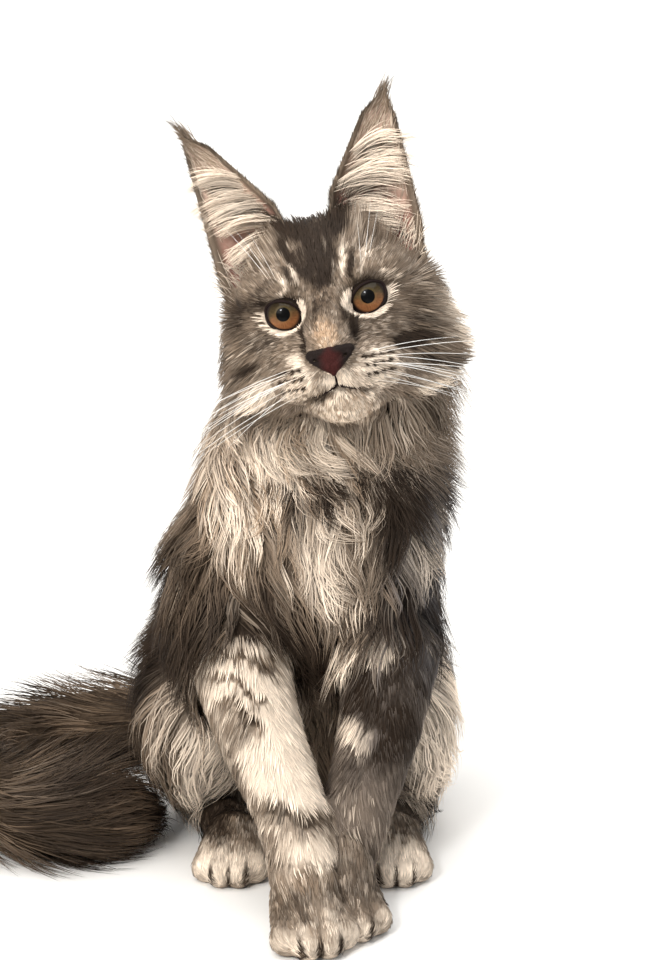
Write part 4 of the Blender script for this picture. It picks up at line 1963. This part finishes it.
class CAT_OT_ears(bpy.types.Operator):
    """Makes the ears with the hair in and on them"""

    bl_idname = "cat.ears"
    bl_label = "Ears"

    def execute(self, context):
        settings = context.scene.cat_coat
        random = np.random.default_rng(settings.seed + 100)
        share = quick_share(settings)
        material = shared_material("ear_lining", ear_material)
        for name, side in (("left", 1), ("right", -1)):
            ear = make_ear("ear_cup_" + name, side)
            finish_piece(ear, material, "ear_skin", "ear_" + name)
            groups = {}
            for start, kinds in EAR_HAIR.items():
                grown = [grow(side, int(count * share), random) for grow, count in kinds]
                groups[start] = merged(grown)
            for start, group in groups.items():
                hair = tufts(start + name, *group, random)
                finish_piece(hair, shared_material("coat", coat_material), "ear_skin")
        return {"FINISHED"}


class CAT_OT_coat(bpy.types.Operator):
    """Grows the coat over the skin"""

    bl_idname = "cat.coat"
    bl_label = "Coat"

    def execute(self, context):
        settings = context.scene.cat_coat
        surface = skin_surface()
        areas = coat_areas(surface)
        share = quick_share(settings)
        for number, (name, style) in enumerate(STYLES.items()):
            random = np.random.default_rng(settings.seed + number)
            roots = surface.scatter(areas[name], int(style.count * share), random)
            lengths = coat_length(roots, settings) * style.reach
            paths, ups = grown_paths(surface, roots, lengths, style, random)
            widths = style.width * MM * random.uniform(0.7, 1.25, len(lengths)) / share ** 0.5
            piece = tufts(name, roots, paths, ups, widths, random)
            finish_piece(piece, shared_material("coat", coat_material), style.slot)
        return {"FINISHED"}


class CAT_OT_whiskers(bpy.types.Operator):
    """Adds the whiskers of the muzzle and brows"""

    bl_idname = "cat.whiskers"
    bl_label = "Whiskers"

    def execute(self, context):
        random = np.random.default_rng(context.scene.cat_coat.seed + 200)
        roots = Roots()
        roots.points, roots.normals, roots.ways, paths, widths = whisker_paths(skin_surface(), random)
        roots.marks = np.zeros_like(roots.points)
        roots.draws = np.full((len(widths), 2), 0.5)
        roots.unwrap = np.stack((np.linspace(0.52, 0.98, len(widths)), widths * 0 + 0.9), 1)
        ups = np.repeat(roots.normals[None], len(paths), 0)
        piece = tufts("whiskers", roots, paths, ups, widths, random)
        finish_piece(piece, shared_material("whisker_hair", whisker_material), "head_coat")
        return {"FINISHED"}


def area_light(name, place, target, size, power, colour):
    """A soft square light at a place, facing a target."""
    light = bpy.data.lights.new(name, "AREA")
    light.shape = "SQUARE"
    light.size = size
    light.energy = power
    light.color = colour
    lamp = linked(name, light)
    lamp.location = place
    lamp.rotation_euler = (Vector(target) - Vector(place)).to_track_quat("-Z", "Y").to_euler()


CAMERA_PLACE = (0.018, -1.08, 0.46)
CAMERA_TILT = math.radians(76.2)
CAMERA_LENS = 72.825


def make_backdrop():
    """A pale floor that runs back and curves up into a wall."""
    bpy.ops.object.select_all(action="DESELECT")
    bpy.ops.mesh.primitive_plane_add(size=1.0)
    floor = bpy.context.active_object
    floor.scale = (12.0, 5.0, 1.0)
    floor.location = (0.0, -1.5, -0.0002)
    settle(floor, "floor")
    bpy.ops.object.mode_set(mode="EDIT")
    form = bmesh.from_edit_mesh(floor.data)
    for edge in form.edges:
        edge.select_set(all(vertex.co.y > 0 for vertex in edge.verts))
    bmesh.update_edit_mesh(floor.data)
    rise = 0.9
    steps = 14
    for step in range(steps):
        near = math.pi / 2 * step / steps
        far = math.pi / 2 * (step + 1) / steps
        way = (0, rise * (math.sin(far) - math.sin(near)), rise * (math.cos(near) - math.cos(far)))
        bpy.ops.mesh.extrude_edges_move(TRANSFORM_OT_translate={"value": way})
    bpy.ops.mesh.extrude_edges_move(TRANSFORM_OT_translate={"value": (0, 0, 4.0)})
    bpy.ops.mesh.select_all(action="SELECT")
    bpy.ops.mesh.normals_make_consistent(inside=False)
    bpy.ops.object.mode_set(mode="OBJECT")
    bpy.ops.object.shade_smooth()
    return floor


class CAT_OT_stage(bpy.types.Operator):
    """Adds the floor, the lights and the camera"""

    bl_idname = "cat.stage"
    bl_label = "Stage"

    def execute(self, context):
        settings = context.scene.cat_stage
        floor = make_backdrop()
        shader = Shader("pale_floor")
        place = shader.object_place()
        tone = shader.noise(place, 3.0, 2.0)
        colour = shader.mix(tone, (0.80, 0.79, 0.77, 1.0), (0.86, 0.85, 0.83, 1.0))
        floor.data.materials.append(shader.surface(colour, 0.8 + tone * 0.05))
        world = bpy.data.worlds.new("soft_room")
        world.use_nodes = True
        sky = world.node_tree.nodes["Background"]
        sky.inputs["Color"].default_value = (0.97, 0.975, 0.98, 1.0)
        sky.inputs["Strength"].default_value = settings.sky
        context.scene.world = world
        context.scene.view_settings.view_transform = "Standard"
        target = (0.0, -0.06, 0.2)
        area_light("key", (-0.95, -1.15, 1.25), target, 1.4, settings.key_power, (1.0, 0.94, 0.86))
        area_light("fill", (1.3, -0.9, 0.7), target, 1.2, settings.fill_power * 0.75, (0.9, 0.95, 1.0))
        area_light("back", (0.7, 0.9, 1.2), target, 0.6, settings.fill_power, (1.0, 0.97, 0.93))
        area_light("wall", (0.0, 0.1, 2.4), (0.0, 1.9, 0.3), 2.0, settings.key_power * 2.0, (1.0, 1.0, 1.0))
        area_light("gleam", (-0.4, -1.0, 0.85), (0.014, -0.14, 0.32), 0.14, 6.0, (0.97, 0.985, 1.0))
        camera = bpy.data.cameras.new("camera")
        camera.lens = CAMERA_LENS
        camera.clip_end = 200.0
        holder = linked("camera", camera)
        holder.location = CAMERA_PLACE
        holder.rotation_euler = (CAMERA_TILT, 0.0, 0.0)
        context.scene.camera = holder
        return {"FINISHED"}


OPERATORS = (
    CAT_OT_skin,
    CAT_OT_eyes,
    CAT_OT_nose,
    CAT_OT_ears,
    CAT_OT_coat,
    CAT_OT_whiskers,
    CAT_OT_stage,
)


class CAT_PT_panel(bpy.types.Panel):
    """Lists the steps of the cat in the sidebar"""

    bl_idname = "CAT_PT_panel"
    bl_label = "Cat"
    bl_space_type = "VIEW_3D"
    bl_region_type = "UI"
    bl_category = "Cat"

    def draw(self, context):
        for operator in OPERATORS:
            self.layout.operator(operator.bl_idname)
        for settings in (context.scene.cat_coat, context.scene.cat_colours, context.scene.cat_stage):
            box = self.layout.box()
            for name in settings.bl_rna.properties.keys():
                if name not in ("rna_type", "name"):
                    box.prop(settings, name)


CLASSES = (CoatSettings, ColourSettings, StageSettings, *OPERATORS, CAT_PT_panel)


def register():
    """Adds the classes and their settings."""
    for item in CLASSES:
        bpy.utils.register_class(item)
    bpy.types.Scene.cat_coat = PointerProperty(type=CoatSettings)
    bpy.types.Scene.cat_colours = PointerProperty(type=ColourSettings)
    bpy.types.Scene.cat_stage = PointerProperty(type=StageSettings)


def unregister():
    """Removes the settings and the classes."""
    del bpy.types.Scene.cat_coat
    del bpy.types.Scene.cat_colours
    del bpy.types.Scene.cat_stage
    for item in reversed(CLASSES):
        bpy.utils.unregister_class(item)


def main():
    """Builds everything and writes the size of the solids and of the finished model."""
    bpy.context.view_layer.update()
    register()
    bpy.ops.cat.skin()
    bpy.ops.cat.eyes()
    bpy.ops.cat.nose()
    bpy.ops.cat.ears()
    bpy.ops.cat.coat()
    bpy.ops.cat.whiskers()
    bpy.ops.cat.stage()


if __name__ == "__main__":
    main()
